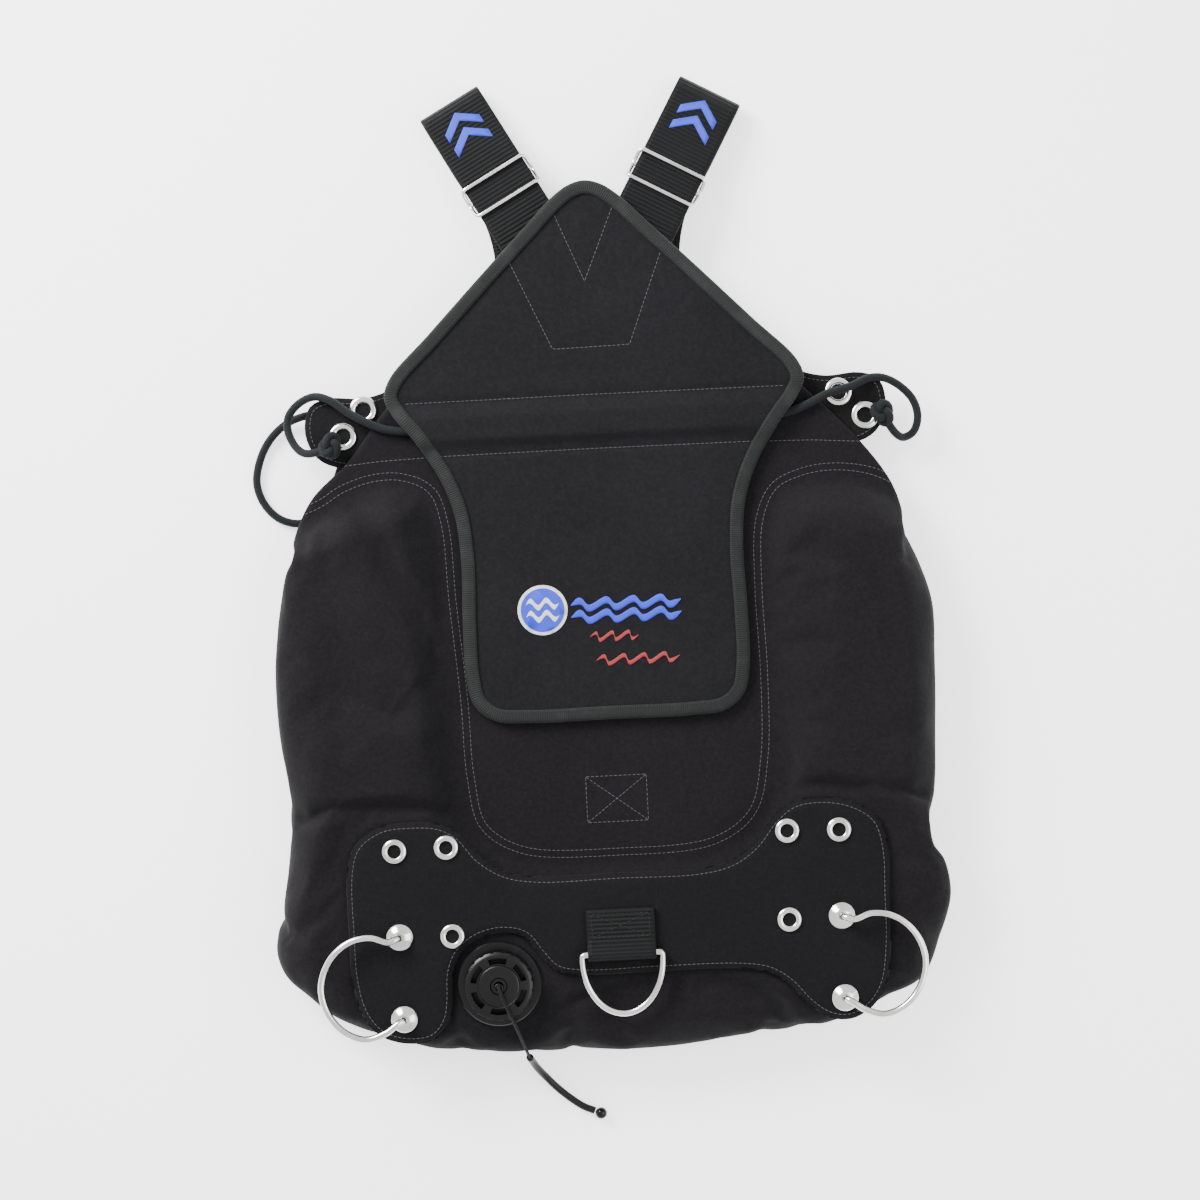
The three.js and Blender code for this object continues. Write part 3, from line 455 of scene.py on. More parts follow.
def satin_thread(name, colour, turn=0.0):
    """Machine embroidery: close rows of shiny thread."""
    f = Finish(name, colour, 0.5, Sheen_Weight=0.15)
    place = f.node("ShaderNodeMapping", {}, {"Vector": f.place(), "Rotation": (0, 0, turn)})
    rows = abs((f.axes(place)[0] * (math.pi / 0.0007)).sin())
    uneven = f.noise(260, 3.0, place)
    # The hollows between the thread rows are painted darker than the thread: painted shade; the unevenness
    # is tone that differs at random.
    shade = [c * 0.72 for c in colour[:3]] + [1]
    f.set("Base Color", f.blend((rows * 0.6 + uneven * 0.4).clamped(), shade, colour))
    f.set("Roughness", 0.42 + uneven * 0.2)
    f.relief(rows + uneven * 0.5, 0.00022)
    return f.material


SHELL = woven("shell_cloth", linear(9, 7, 9), linear(21, 19, 22), 0.0008, 0.00022)
COVER_CLOTH = woven("cover_cloth", linear(10, 9, 11), linear(23, 22, 25), 0.0008, 0.00022, turn=0.6)
PANEL_CLOTH = woven("panel_cloth", linear(7, 7, 8), linear(16, 15, 18), 0.0009, 0.00026, turn=0.25)
PLATE_CLOTH = woven("plate_cloth", linear(8, 8, 9), linear(18, 17, 19), 0.0008, 0.0002)
TAPE = ribbed_tape("binding_tape", linear(7, 9, 8), linear(27, 30, 29))
BELTING = belting("nylon_belting", linear(4, 4, 5), linear(16, 17, 18))
STEEL = bright_steel()
BLACK = moulded("black_plastic", linear(4, 4, 5), linear(12, 12, 14), 0.3)
RUBBER = moulded("black_rubber", linear(4, 4, 4), linear(12, 12, 13), 0.4, 0.00012)
GLOSSY = moulded("glossy_bead", linear(5, 5, 6), linear(12, 12, 14), 0.12, 0.00002)
ELASTIC = braided("elastic_cord", linear(4, 6, 7), linear(20, 25, 27), 0.006)
LINE = braided("pull_line", linear(4, 4, 5), linear(18, 18, 20), 0.0025)
THREAD = moulded("grey_thread", linear(74, 72, 76), linear(100, 98, 102), 0.55)
DARK_THREAD = moulded("dark_thread", linear(30, 30, 32), linear(48, 48, 50), 0.55)
BLUE_THREAD = satin_thread("blue_thread", linear(0, 44, 205), 0.35)
WHITE_THREAD = satin_thread("white_thread", linear(222, 222, 224), 0.35)
RED_THREAD = satin_thread("red_thread", linear(140, 0, 8), 0.35)
MESH = spacer_mesh()
LOOPS = pile("loop_pile", linear(8, 8, 9), linear(26, 26, 29), 0.0012)
HOOKS = pile("hook_tape", linear(7, 7, 8), linear(22, 22, 24), 0.0009)
FILM = film()


# ---- Making pieces ----
def pick(piece=None):
    bpy.ops.object.select_all(action="DESELECT")
    if piece:
        piece.select_set(True)
        bpy.context.view_layer.objects.active = piece


def placed(name, data):
    """A new object with this data, in the scene."""
    piece = bpy.data.objects.new(name, data)
    bpy.context.scene.collection.objects.link(piece)
    return piece


def bare(name, vertices, edges, faces, material=None):
    """A mesh as given, before any work on it."""
    piece = placed(name, bpy.data.meshes.new(name))
    piece.data.from_pydata(vertices, edges, faces)
    if material:
        piece.data.materials.append(material)
    return piece


def new_piece(name, vertices, faces, material, uvs=None):
    faces = [tuple(int(i) for i in face) for face in faces]
    piece = bare(name, [tuple(v) for v in vertices], [], faces, material)
    if uvs is not None:
        layer = piece.data.uv_layers.new(name="UVMap")
        layer.data.foreach_set("uv", np.array(uvs, float).ravel())
    return outward(piece)


def outward(piece):
    """Faces outwards and smooth."""
    pick(piece)
    bpy.ops.object.mode_set(mode="EDIT")
    bpy.ops.mesh.select_all(action="SELECT")
    bpy.ops.mesh.normals_make_consistent(inside=False)
    bpy.ops.object.mode_set(mode="OBJECT")
    bpy.ops.object.shade_smooth()
    return piece


def apply_modifiers(piece):
    pick(piece)
    for modifier in list(piece.modifiers):
        bpy.ops.object.modifier_apply(modifier=modifier.name)


def rounded(piece, width, segments=3, angle=35):
    """Broken edges, as on pressed or moulded parts."""
    bevel = piece.modifiers.new("edges", "BEVEL")
    bevel.width, bevel.segments, bevel.limit_method = width * mm, segments, "ANGLE"
    bevel.angle_limit = math.radians(angle)
    bevel.harden_normals = False
    return piece


def crisp(piece, angle=40):
    pick(piece)
    bpy.ops.object.shade_smooth_by_angle(angle=math.radians(angle))
    return piece


def joined(name, *pieces):
    pick(pieces[0])
    for piece in pieces:
        piece.select_set(True)
    bpy.ops.object.join()
    pieces[0].name = name
    return pieces[0]


def sweep(name, path, section, material, sides=None, closed=False):
    """A section of (across, out) corners along a path; sides holds the across direction at each point."""
    p = np.array(path, float)
    count = len(p)
    if closed:
        tangent = np.roll(p, -1, axis=0) - np.roll(p, 1, axis=0)
    else:
        tangent = np.gradient(p, axis=0)
    tangent /= np.linalg.norm(tangent, axis=1)[:, None]
    if sides is None:
        side = np.cross(tangent[0], (0, 0, 1))
        if np.linalg.norm(side) < 0.2:
            side = np.cross(tangent[0], (1, 0, 0))
        sides = []
        for t in tangent:
            side = side - t * np.dot(side, t)
            side = side / np.linalg.norm(side)
            sides.append(side)
    sides = np.array(sides, float)
    sides -= tangent * (sides * tangent).sum(1)[:, None]
    sides /= np.linalg.norm(sides, axis=1)[:, None]
    out = np.cross(tangent, sides)
    corners = np.array(section, float)
    n = len(corners)
    ring = p[:, None] + sides[:, None] * corners[None, :, :1] + out[:, None] * corners[None, :, 1:]
    vertices = [at(*v) for v in ring.reshape(-1, 3)]
    run = np.concatenate(
        [[0], np.cumsum(np.linalg.norm(np.diff(np.vstack([p, p[:1]]), axis=0), axis=1))]
    ) * mm
    loop = np.vstack([corners, corners[:1]])
    girth = np.concatenate([[0], np.cumsum(np.linalg.norm(np.diff(loop, axis=0), axis=1))])
    wide = np.ptp(corners[:, 0]) > 2.5 * np.ptp(corners[:, 1])
    around = loop[:, 0] * mm if wide else girth / girth[-1]
    faces, uvs = [], []
    for i in range(count if closed else count - 1):
        for k in range(n):
            a, b = i * n + k, i * n + (k + 1) % n
            j = (i + 1) % count
            faces.append((a, b, j * n + (k + 1) % n, j * n + k))
            uvs += [
                (run[i], around[k]), (run[i], around[k + 1]), (run[i + 1], around[k + 1]),
                (run[i + 1], around[k]),
            ]
    if not closed:
        for i, run_at in ((0, run[0]), (count - 1, run[count - 1])):
            faces.append([i * n + k for k in range(n)])
            uvs += [(run_at, around[k]) for k in range(n)]
    return new_piece(name, vertices, faces, material, uvs)


def circle(radius, sides=16):
    return [
        (radius * math.cos(2 * math.pi * k / sides), radius * math.sin(2 * math.pi * k / sides))
        for k in range(sides)
    ]


def tape_section(width, thick):
    """A flat tape with rounded selvedges, from one edge to the other over and under."""
    half, t, edge = width / 2, thick / 2, 0.6
    top = [(-half, 0), (-half + 0.15, t * 0.6), (-half + edge, t)]
    top += [(x, t) for x in np.linspace(-half + 4, half - 4, 7)]
    top += [(half - edge, t), (half - 0.15, t * 0.6), (half, 0)]
    return top + [(x, -z) for x, z in reversed(top[1:-1])]


def rod(name, path, radius, material=STEEL, closed=False, sides=16):
    """Bent round bar: a curve with a round section, made a mesh."""
    curve = bpy.data.curves.new(name, "CURVE")
    curve.dimensions, curve.bevel_depth, curve.bevel_resolution = "3D", radius * mm, sides // 4
    curve.use_fill_caps = True
    bar = curve.splines.new("POLY")
    bar.points.add(len(path) - 1)
    for point, place in zip(bar.points, path):
        point.co = (*at(*place), 1)
    bar.use_cyclic_u = closed
    pick(placed(name, curve))
    bpy.ops.object.convert(target="MESH")
    piece = bpy.context.object
    piece.data.materials.clear()
    piece.data.materials.append(material)
    return outward(piece)


def turned(name, profile, centre, material, steps=64, sharp=38):
    """A lathe part: a closed loop of (radius, height) corners, spun about the upright line at centre."""
    corners = [at(centre[0] + r, centre[1], z) for r, z in profile]
    edges = [(i, (i + 1) % len(corners)) for i in range(len(corners))]
    piece = bare(name, corners, edges, [], material)
    pick(piece)
    bpy.ops.object.mode_set(mode="EDIT")
    bpy.ops.mesh.select_all(action="SELECT")
    bpy.ops.mesh.spin(steps=steps, angle=2 * math.pi, center=at(*centre), axis=(0, 0, 1))
    bpy.ops.mesh.select_all(action="SELECT")
    bpy.ops.mesh.remove_doubles(threshold=0.00001)
    bpy.ops.mesh.dissolve_degenerate(threshold=0.000005)
    bpy.ops.object.mode_set(mode="OBJECT")
    outward(piece)
    return crisp(piece, sharp)


def pillow(name, outline, middle, shares, top, bottom, material):
    """A closed soft piece on rings about its middle; top and bottom give the heights of its two faces."""
    edge, centre = np.array(outline, float), np.array(middle, float)
    rings = np.concatenate([centre + (edge - centre) * s for s in shares[1:]])
    n = len(edge)
    flat = np.vstack([centre[None], rings])
    rows = len(shares) - 1
    high, low = top(flat), bottom(flat)
    upper = np.column_stack([flat, high])
    rim = slice(1 + (rows - 1) * n, 1 + rows * n)
    upper[rim, 2] = (high[rim] + low[rim]) / 2
    lower = np.column_stack([flat[: 1 + (rows - 1) * n], low[: 1 + (rows - 1) * n]])
    offset = len(upper)
    faces = []
    for base, turn in ((0, 1), (offset, -1)):
        def spot(row, k):
            if row < 0:
                return base
            if row == rows - 1:
                return 1 + row * n + k % n
            return base + 1 + row * n + k % n
        for k in range(n):
            faces.append((spot(-1, 0), spot(0, k), spot(0, k + 1))[::turn])
            for row in range(rows - 1):
                faces.append(
                    (spot(row, k), spot(row + 1, k), spot(row + 1, k + 1), spot(row, k + 1))[::turn]
                )
    return new_piece(name, [at(*v) for v in np.vstack([upper, lower])], faces, material)


def slab(name, outline, low, high, cell, material):
    """A closed sheet of even small cells with the given outline."""
    n = len(outline)
    corners = [at(x, y, z) for z in (low, high) for x, y in outline]
    sides = [(k, (k + 1) % n, n + (k + 1) % n, n + k) for k in range(n)]
    ends = [tuple(reversed(range(n))), tuple(range(n, 2 * n))]
    piece = bare(name, corners, [], sides + ends, material)
    cells = piece.modifiers.new("cells", "REMESH")
    cells.mode, cells.voxel_size = "VOXEL", cell * mm
    apply_modifiers(piece)
    return outward(piece)


def places(piece):
    """The piece's vertices, in millimetres on the vest."""
    co = np.empty(len(piece.data.vertices) * 3)
    piece.data.vertices.foreach_get("co", co)
    return co.reshape(-1, 3) / mm - np.array(SHIFT)


def set_places(piece, points):
    piece.data.vertices.foreach_set("co", ((points + np.array(SHIFT)) * mm).ravel())
    piece.data.update()


def surface(piece):
    """What a stitch or patch is dropped on."""
    faces = [tuple(face.vertices) for face in piece.data.polygons]
    return BVHTree.FromPolygons([v.co.copy() for v in piece.data.vertices], faces)


def drop(tree, x, y, down=True):
    """Where a needle from above, or from below, meets the surface, and the surface's direction there."""
    start = at(x, y, 200 if down else -100)
    hit, normal, _, _ = tree.ray_cast(start, Vector((0, 0, -1 if down else 1)))
    if hit is None:
        return None, None
    if normal.z * (1 if down else -1) < 0:
        normal = -normal
    return hit, normal


def stitched(name, lines, tree, material=THREAD, pitch=3.4, long=2.5, thick=0.5, down=True):
    """Rows of single stitches sewn on a surface, along lines of (x, y) places."""
    sides, rings = 6, [(-0.5, 0.35), (-0.36, 0.9), (0.0, 1.0), (0.36, 0.9), (0.5, 0.35)]
    vertices, faces = [], []
    for line in lines:
        spots = even(line, pitch)
        for a, b in zip(spots, spots[1:]):
            middle, step = (a + b) / 2, b - a
            hit, normal = drop(tree, *middle, down)
            if hit is None:
                continue
            along = Vector((step[0], step[1], 0)).normalized()
            along = (along - normal * along.dot(normal)).normalized()
            side = normal.cross(along)
            start = len(vertices)
            for share, swell in rings:
                centre = hit + along * share * long * mm + normal * (0.42 * swell - 0.12) * thick * mm
                for k in range(sides):
                    turn = 2 * math.pi * k / sides
                    reach = thick / 2 * swell * mm
                    vertices.append(
                        centre + side * math.cos(turn) * reach + normal * math.sin(turn) * reach
                    )
            for r in range(len(rings) - 1):
                for k in range(sides):
                    a0, b0 = start + r * sides + k, start + r * sides + (k + 1) % sides
                    faces.append((a0, b0, b0 + sides, a0 + sides))
            faces.append([start + k for k in range(sides)])
            faces.append([start + (len(rings) - 1) * sides + k for k in range(sides)])
    return new_piece(name, vertices, faces, material)


def goes(piece, body="root", replaces=()):
    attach(piece, body)
    if replaces:
        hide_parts(*replaces)
    return piece


# ---- Camera, light and floor ----
camera = placed("camera", bpy.data.cameras.new("camera"))
camera.data.lens, camera.data.sensor_width = 85, 36
camera.data.clip_end = 20
camera.location = at(-3.3, 0.4, 2130)
camera.rotation_euler = (0, 0, math.radians(-2.86))
bpy.context.scene.camera = camera

world = bpy.data.worlds.new("studio")
world.use_nodes = True
world.node_tree.nodes["Background"].inputs["Color"].default_value = (1, 1, 1, 1)
world.node_tree.nodes["Background"].inputs["Strength"].default_value = 1.35
bpy.context.scene.world = world


def soft_light(name, place, size, power):
    lamp = placed(name, bpy.data.lights.new(name, "AREA"))
    lamp.data.size, lamp.data.energy = size, power
    lamp.location = at(*place)
    lamp.rotation_euler = (at(0, 0, 0) - lamp.location).to_track_quat("-Z", "Y").to_euler()


soft_light("key", (-1300, 1300, 1200), 1.0, 120)
soft_light("fill", (1400, -300, 1500), 1.6, 30)

floor_finish = Finish(
    "pale_floor", linear(248, 248, 248), 0.9, Emission_Color=(1, 1, 1, 1), Emission_Strength=1.4,
)
floor_grain = floor_finish.noise(30, 2.0)
floor_finish.set("Roughness", 0.86 + floor_grain * 0.06)
bpy.ops.mesh.primitive_plane_add(size=14, location=(0, 0, 0))
floor = bpy.context.object
floor.name = "floor"
floor.data.materials.append(floor_finish.material)

# ---- Wing ----
wing_edge = spline(WING, count=280, closed=True)
seam_line = spline(SEAM, spacing=3)
core = np.vstack([seam_line, [(275, 400), (-275, 400)]])
panel_edge = moved_out(spline(PANEL, count=320, closed=True), 2.5)
cover_edge = spline(COVER, count=320, closed=True)

# Soft hollows that run over the air cell: path, depth and width
HOLLOWS = [
    ([(-178, 78), (-156, 34), (-134, -8), (-116, -50), (-108, -84)], 9.0, 11),
    ([(-214, 44), (-198, -30), (-196, -96)], 3.6, 17),
    ([(-236, -148), (-196, -143), (-146, -148), (-112, -166)], 5.0, 8),
    ([(238, -152), (198, -146), (150, -146), (120, -160)], 4.4, 8),
    ([(-46, -322), (6, -302), (60, -294), (112, -302)], 3.4, 8),
    ([(-50, -298), (0, -284), (60, -283), (104, -290)], 2.4, 6),
    ([(214, -96), (208, 0), (186, 66)], 3.4, 15),
    ([(132, -112), (146, -44), (142, 26)], 3.6, 11),
    ([(-228, -70), (-190, -84), (-150, -76)], 2.6, 12),
    ([(160, -96), (198, -110), (236, -102)], 2.2, 10),
]


def wing_fullness(p):
    rise = smoothstep(distance_to(p, seam_line), 3, 34)
    reach = np.minimum(distance_to(p, wing_edge, True) / 34, 1)
    round_edge = np.sqrt(1 - (1 - reach) ** 2)
    return np.where(inside(p, core), 0, rise) * round_edge


def near(p, centre, flat, fade):
    """1 within flat of a place, falling to 0 at fade."""
    return 1 - smoothstep(np.hypot(p[:, 0] - centre[0], p[:, 1] - centre[1]), flat, fade)


def under_hardware(p):
    """1 where something hard lies on the wing."""
    under_panel = np.where(
        inside(p, panel_edge), 1, 1 - smoothstep(distance_to(p, panel_edge, True), 0, 12),
    )
    return np.maximum(under_panel, near(p, VALVE, 33, 46))


def wing_top(p):
    full = wing_fullness(p)
    height = WING_HIGH + (LOBE_TOP - WING_HIGH) * full
    loose = full * (1 - under_hardware(p))
    for path, depth, width in HOLLOWS:
        height = height - depth * loose * np.exp(-((distance_to(p, spline(path, spacing=4)) / width) ** 2))
    return height + loose * (1.1 * ripple(p, 42, 3.1) + 0.5 * ripple(p, 15, 8.4))


def wing_bottom(p):
    full = wing_fullness(p)
    lobe = WING_LOW * (1 - full)
    raised = near(p, INLET, 60, 100)
    return np.maximum(lobe * (1 - raised) + np.maximum(lobe, 15) * raised, 0.2) + 0.6 * full * (1 - raised)


wing_shares = np.concatenate(
    [np.linspace(0, 0.34, 6), np.linspace(0.38, 0.93, 30), [0.95, 0.965, 0.978, 0.989, 1]]
)
wing = pillow("wing", wing_edge, WING_MIDDLE, wing_shares, wing_top, wing_bottom, SHELL)


def settled(piece, held, frames=20, pressure=4.0, shrink=-0.035, cap=7.0):
    """The cloth under air pressure: it swells and wrinkles, is held where sewn and moves cap at most."""
    rest = places(piece)
    group = piece.vertex_groups.new(name="sewn")
    for index, weight in enumerate(held(rest)):
        group.add([index], float(weight), "REPLACE")
    cloth = piece.modifiers.new("cloth", "CLOTH")
    cloth.settings.quality = 5
    cloth.settings.mass = 0.25
    cloth.settings.tension_stiffness = cloth.settings.compression_stiffness = 18
    cloth.settings.shear_stiffness = 6
    cloth.settings.bending_stiffness = 0.6
    cloth.settings.use_pressure = True
    cloth.settings.uniform_pressure_force = pressure
    cloth.settings.shrink_min = shrink
    cloth.settings.effector_weights.gravity = 0
    cloth.settings.vertex_group_mass = "sewn"
    cloth.settings.pin_stiffness = 4
    cloth.collision_settings.use_collision = False
    cloth.point_cache.frame_start, cloth.point_cache.frame_end = 1, frames
    for number in range(1, frames + 1):
        bpy.context.scene.frame_set(number)
    apply_modifiers(piece)
    bpy.context.scene.frame_set(1)
    step = places(piece) - rest
    far = np.linalg.norm(step, axis=1)
    step *= (np.minimum(far, cap) / np.maximum(far, 1e-6))[:, None]
    set_places(piece, rest + step)
    piece.vertex_groups.clear()


def wing_held(p):
    return np.clip(np.maximum.reduce([
        np.where(inside(p, core), 1.0, 1 - smoothstep(distance_to(p, seam_line), 4, 16)),
        under_hardware(p) * 0.98, near(p, INLET, 30, 60),
    ]), 0, 1)


settled(wing, wing_held)
bladder = wing.copy()
bladder.data = wing.data.copy()
bladder.name = bladder.data.name = "bladder"
bpy.context.scene.collection.objects.link(bladder)
bladder.data.materials[0] = FILM
p = places(bladder)
p[:, :2] += (np.array(WING_MIDDLE) - p[:, :2]) * 0.05 * (
    1 - smoothstep(distance_to(p, wing_edge, True), 10, 70)
)[:, None]
seam_level = (WING_LOW + WING_HIGH) / 2
p[:, 2] = seam_level + (p[:, 2] - seam_level) * 0.6
set_places(bladder, p)
smoother = wing.modifiers.new("fine", "SUBSURF")
smoother.levels = smoother.render_levels = 1
apply_modifiers(wing)
p = places(wing)
upper = p[:, 2] > WING_LOW + 2
for under, top in (
    (inside(p, moved_out(panel_edge, 3)), LOBE_TOP),
    (np.hypot(p[:, 0] - VALVE[0], p[:, 1] - VALVE[1]) < 34, LOBE_TOP),
    (inside(p, moved_out(cover_edge, 1)) & (p[:, 2] < 40), UNDER_COVER),
):
    p[upper & under, 2] = np.minimum(p[upper & under, 2], top)
p[:, 2] = np.clip(p[:, 2], 0.2, LOBE_TOP + 5)
set_places(wing, p)
goes(wing, replaces=("wing_outer_shell", "wing_inner_shell"))
goes(bladder, replaces=("air_bladder",))

# ---- Lower panel over its stiffener, with grommets and rails ----
panel = slab("lower_panel", panel_edge, PANEL_LOW, PANEL_HIGH, 2.6, PANEL_CLOTH)
p = places(panel)
in_from_edge = np.where(inside(p, panel_edge), distance_to(p, panel_edge, True), 0)
middle = (PANEL_LOW + PANEL_HIGH) / 2
face = PANEL_HIGH - PANEL_LOW
shoulder = np.sqrt(1 - (1 - np.minimum(in_from_edge / 5, 1)) ** 2)
groove = 0.9 * np.exp(-(((in_from_edge - 4.2) / 1.5) ** 2))
swell = 0.5 * smoothstep(in_from_edge, 8, 30) + 0.35 * ripple(p, 26, 5.0) * smoothstep(in_from_edge, 6, 16)
hard = np.zeros(len(p))
for x, y in BUTT_GROMMETS + [(s * x, y) for s in (-1, 1) for x, y in RAIL_POSTS]:
    hard = np.maximum(hard, near(p, (x, y), 10, 20))
upper = p[:, 2] > middle
p[upper, 2] = (PANEL_LOW + 0.2 + (face - 0.2) * shoulder - groove + swell * (1 - hard))[upper]
set_places(panel, p)
goes(panel, replaces=("butt_panel",))
panel_top = surface(panel)
panel_seam = moved_out(spline(PANEL, count=320, closed=True), -1.7)
panel_stitches = stitched("panel_stitches", [np.vstack([panel_seam, panel_seam[:1]])], panel_top)
goes(panel_stitches)


def grommet(name, centre, radius, hole, seat, barrel, node):
    """A rolled eyelet: a domed rim around a barrel."""
    wall = hole + 1.2
    top = seat + GAP
    roll = [(radius, top), (radius - 0.1, top + 0.7), (radius - 0.7, top + 1.4), (radius - 1.6, top + 1.85)]
    roll += [
        ((radius + hole) / 2 + 0.2, top + 2.0), (hole + 1.0, top + 1.75), (hole + 0.3, top + 1.2),
        (hole, top + 0.5),
    ]
    piece = turned(
        name, roll + [(hole, seat - barrel), (wall, seat - barrel), (wall, top)], (*centre, 0), STEEL, 48,
        60,
    )
    return goes(piece, replaces=(node,))


for number, (x, y) in enumerate(BUTT_GROMMETS):
    side = "left" if x < 0 else "right"
    name = f"{side}_{number % 3 + 1}"
    grommet(f"panel_eyelet_{name}", (x, y), 9.2, 4.7, PANEL_HIGH, 5.6, f"butt_grommet_{name}")
for number, (x, y) in enumerate(EAR_GROMMETS):
    name = f"{'left' if x < 0 else 'right'}_{number % 2 + 1}"
    grommet(f"ear_eyelet_{name}", (x, y), 10.5, 5.5, PLATE_HIGH, 2.4, f"ear_grommet_{name}")

RAIL_LEVEL = level("rail_left") - 2.5
RAIL_CURVE = [
    (170, -241), (183, -237), (199, -240), (213, -252), (220, -270), (217, -289), (206, -304), (190, -311),
    (175, -307),
]
for side, word in ((-1, "left"), (1, "right")):
    (x0, y0), (x1, y1) = RAIL_POSTS
    bow = [
        (x0 + 3, y0 - 0.5, RAIL_LEVEL - 0.8), *((x, y, RAIL_LEVEL) for x, y in RAIL_CURVE),
        (x1 + 3, y1 - 1, RAIL_LEVEL - 0.8),
    ]
    path = [(x0, y0, 54), (x0, y0, RAIL_LEVEL - 6), (x0 + 0.4, y0, RAIL_LEVEL - 3), *bow]
    path += [(x1 + 0.4, y1, RAIL_LEVEL - 3), (x1, y1, RAIL_LEVEL - 6), (x1, y1, 54)]
    bar = rod(f"rail_bar_{word}", spline([(side * x, y, z) for x, y, z in path], spacing=1.6), 2.5)
    goes(bar, replaces=(f"rail_{word}",))
    for number, (x, y) in enumerate(RAIL_POSTS):
        seat = PANEL_HIGH + GAP
        cone = [
            (2.7, seat), (10, seat), (10, seat + 0.5), (9.5, seat + 1.2), (7.5, seat + 2.4),
            (5.2, seat + 4.1), (4.4, seat + 4.5), (2.7, seat + 4.5),
        ]
        cup = turned(f"rail_cone_{word}_{number + 1}", cone, (side * x, y, 0), STEEL, 48)
        goes(cup, replaces=(f"rail_cup_{word}_{number + 1}",))

# ---- Dump valve ----
FLANGE_TOP = level("valve_body") - 1
flange = [
    (17, 45), (20, 45), (20, LOBE_TOP + GAP), (31, LOBE_TOP + GAP), (31, FLANGE_TOP - 0.8),
    (30.2, FLANGE_TOP), (26.5, FLANGE_TOP), (22, FLANGE_TOP), (22, FLANGE_TOP + 1), (17, FLANGE_TOP + 1),
]
goes(turned("valve_flange", flange, (*VALVE, 0), BLACK, 96), replaces=("valve_body",))
CAP_TOP = valve_high.z / mm
cap_profile = [
    (22.4, FLANGE_TOP + GAP), (25.4, FLANGE_TOP + GAP), (25.5, CAP_TOP - 3), (25.0, CAP_TOP - 1.4),
    (23.4, CAP_TOP - 0.3), (22.2, CAP_TOP), (15.6, CAP_TOP), (15.0, CAP_TOP - 0.5), (14.4, CAP_TOP - 0.1),
    (13.8, CAP_TOP), (6.4, CAP_TOP), (5.6, CAP_TOP - 0.9), (3.6, CAP_TOP - 0.9), (3.6, CAP_TOP - 2.6),
    (22.4, CAP_TOP - 2.6),
]
cap = turned("valve_cover", cap_profile, (*VALVE, 0), BLACK, 120)


def carve(piece, cutter):
    cut = piece.modifiers.new("cut", "BOOLEAN")
    cut.operation, cut.solver, cut.object = "DIFFERENCE", "EXACT", cutter
    apply_modifiers(piece)
    bpy.data.objects.remove(cutter)


def around_valve(radius, turn, z):
    return at(VALVE[0] + radius * math.cos(turn), VALVE[1] + radius * math.sin(turn), z)


teeth = []
for k in range(20):
    spot = around_valve(27.0, 2 * math.pi * (k + 0.5) / 20, 60)
    pick()
    bpy.ops.mesh.primitive_cylinder_add(vertices=20, radius=2.7 * mm, depth=24 * mm, location=spot)
    teeth.append(bpy.context.object)
pick()
cutter = joined("scallops", *teeth)
pick(cutter)
bpy.ops.object.transform_apply()
carve(cap, cutter)
slots, half = [], math.radians(20)
for k in range(6):
    start = math.pi * (2 * k + 1) / 6 - half
    corners = [(16.4, -4), (20.8, -4), (20.8, 2), (16.4, 2)]
    edge = [around_valve(r, start, CAP_TOP + z) for r, z in corners]
    window = bare("window", edge, [], [(0, 1, 2, 3)])
    pick(window)
    bpy.ops.object.mode_set(mode="EDIT")
    bpy.ops.mesh.select_all(action="SELECT")
    bpy.ops.mesh.spin(steps=10, angle=-2 * half, center=at(*VALVE), axis=(0, 0, 1))
    bpy.ops.object.mode_set(mode="OBJECT")
    slots.append(outward(window))
carve(cap, joined("windows", *slots))
crisp(rounded(cap, 0.35, 2, 30), 40)
goes(cap, replaces=("valve_cap",))
eyelet = rod(
    "cap_eyelet",
    [
        (VALVE[0] + 2.6 * math.cos(t), VALVE[1] - 1 + 2.6 * math.sin(t), CAP_TOP + 1.1)
        for t in np.linspace(0, 2 * math.pi, 24, endpoint=False)
    ],
    0.7, BLACK, True,
)
goes(eyelet, "valve_poppet")
spring_low, spring_high = level("valve_spring", False) + 0.4, level("valve_spring") - 0.4
coil = [
    (
        VALVE[0] + 6 * math.cos(t), VALVE[1] + 6 * math.sin(t),
        spring_low + (spring_high - spring_low) * min(max((t - 5) / 9, 0), 1),
    )
    for t in np.linspace(0, 19, 140)
]
spring = rod("valve_coil", coil, 0.4, STEEL, sides=8)
goes(spring, replaces=("valve_spring",))
tuple(at(*VALVE, spring_high + 0.4))
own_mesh(spring)

# ---- Back cover and flap ----
def channel(y):
    return CHANNEL_RISE * smoothstep(y, HINGE_Y + 4, 125) * (1 - smoothstep(y, 139, 151))


SEWN_ACROSS = [[(-140, 152), (0, 152.5), (140, 152)], [(-124, 112), (0, 112.5), (124, 112)]]
YOKE = [[(-58, 253), (-29, 187), (28, 188), (54, 255)], [(-27, 296), (-3, 236), (20, 290)]]


def cover_top(p):
    from_edge = distance_to(p, cover_edge, True)
    height = COVER_HIGH + channel(p[:, 1]) + 0.9 * smoothstep(from_edge, 8, 34) + 0.35 * ripple(p, 55, 1.7)
    for line in SEWN_ACROSS:
        height -= 1.1 * np.exp(-((distance_to(p, line) / 2.6) ** 2))
    for line in YOKE:
        height -= 0.5 * np.exp(-((distance_to(p, line) / 2.2) ** 2))
    return height + 0.12 * ripple(p, 9, 6.2)


def cover_bottom(p):
    return COVER_LOW + channel(p[:, 1])


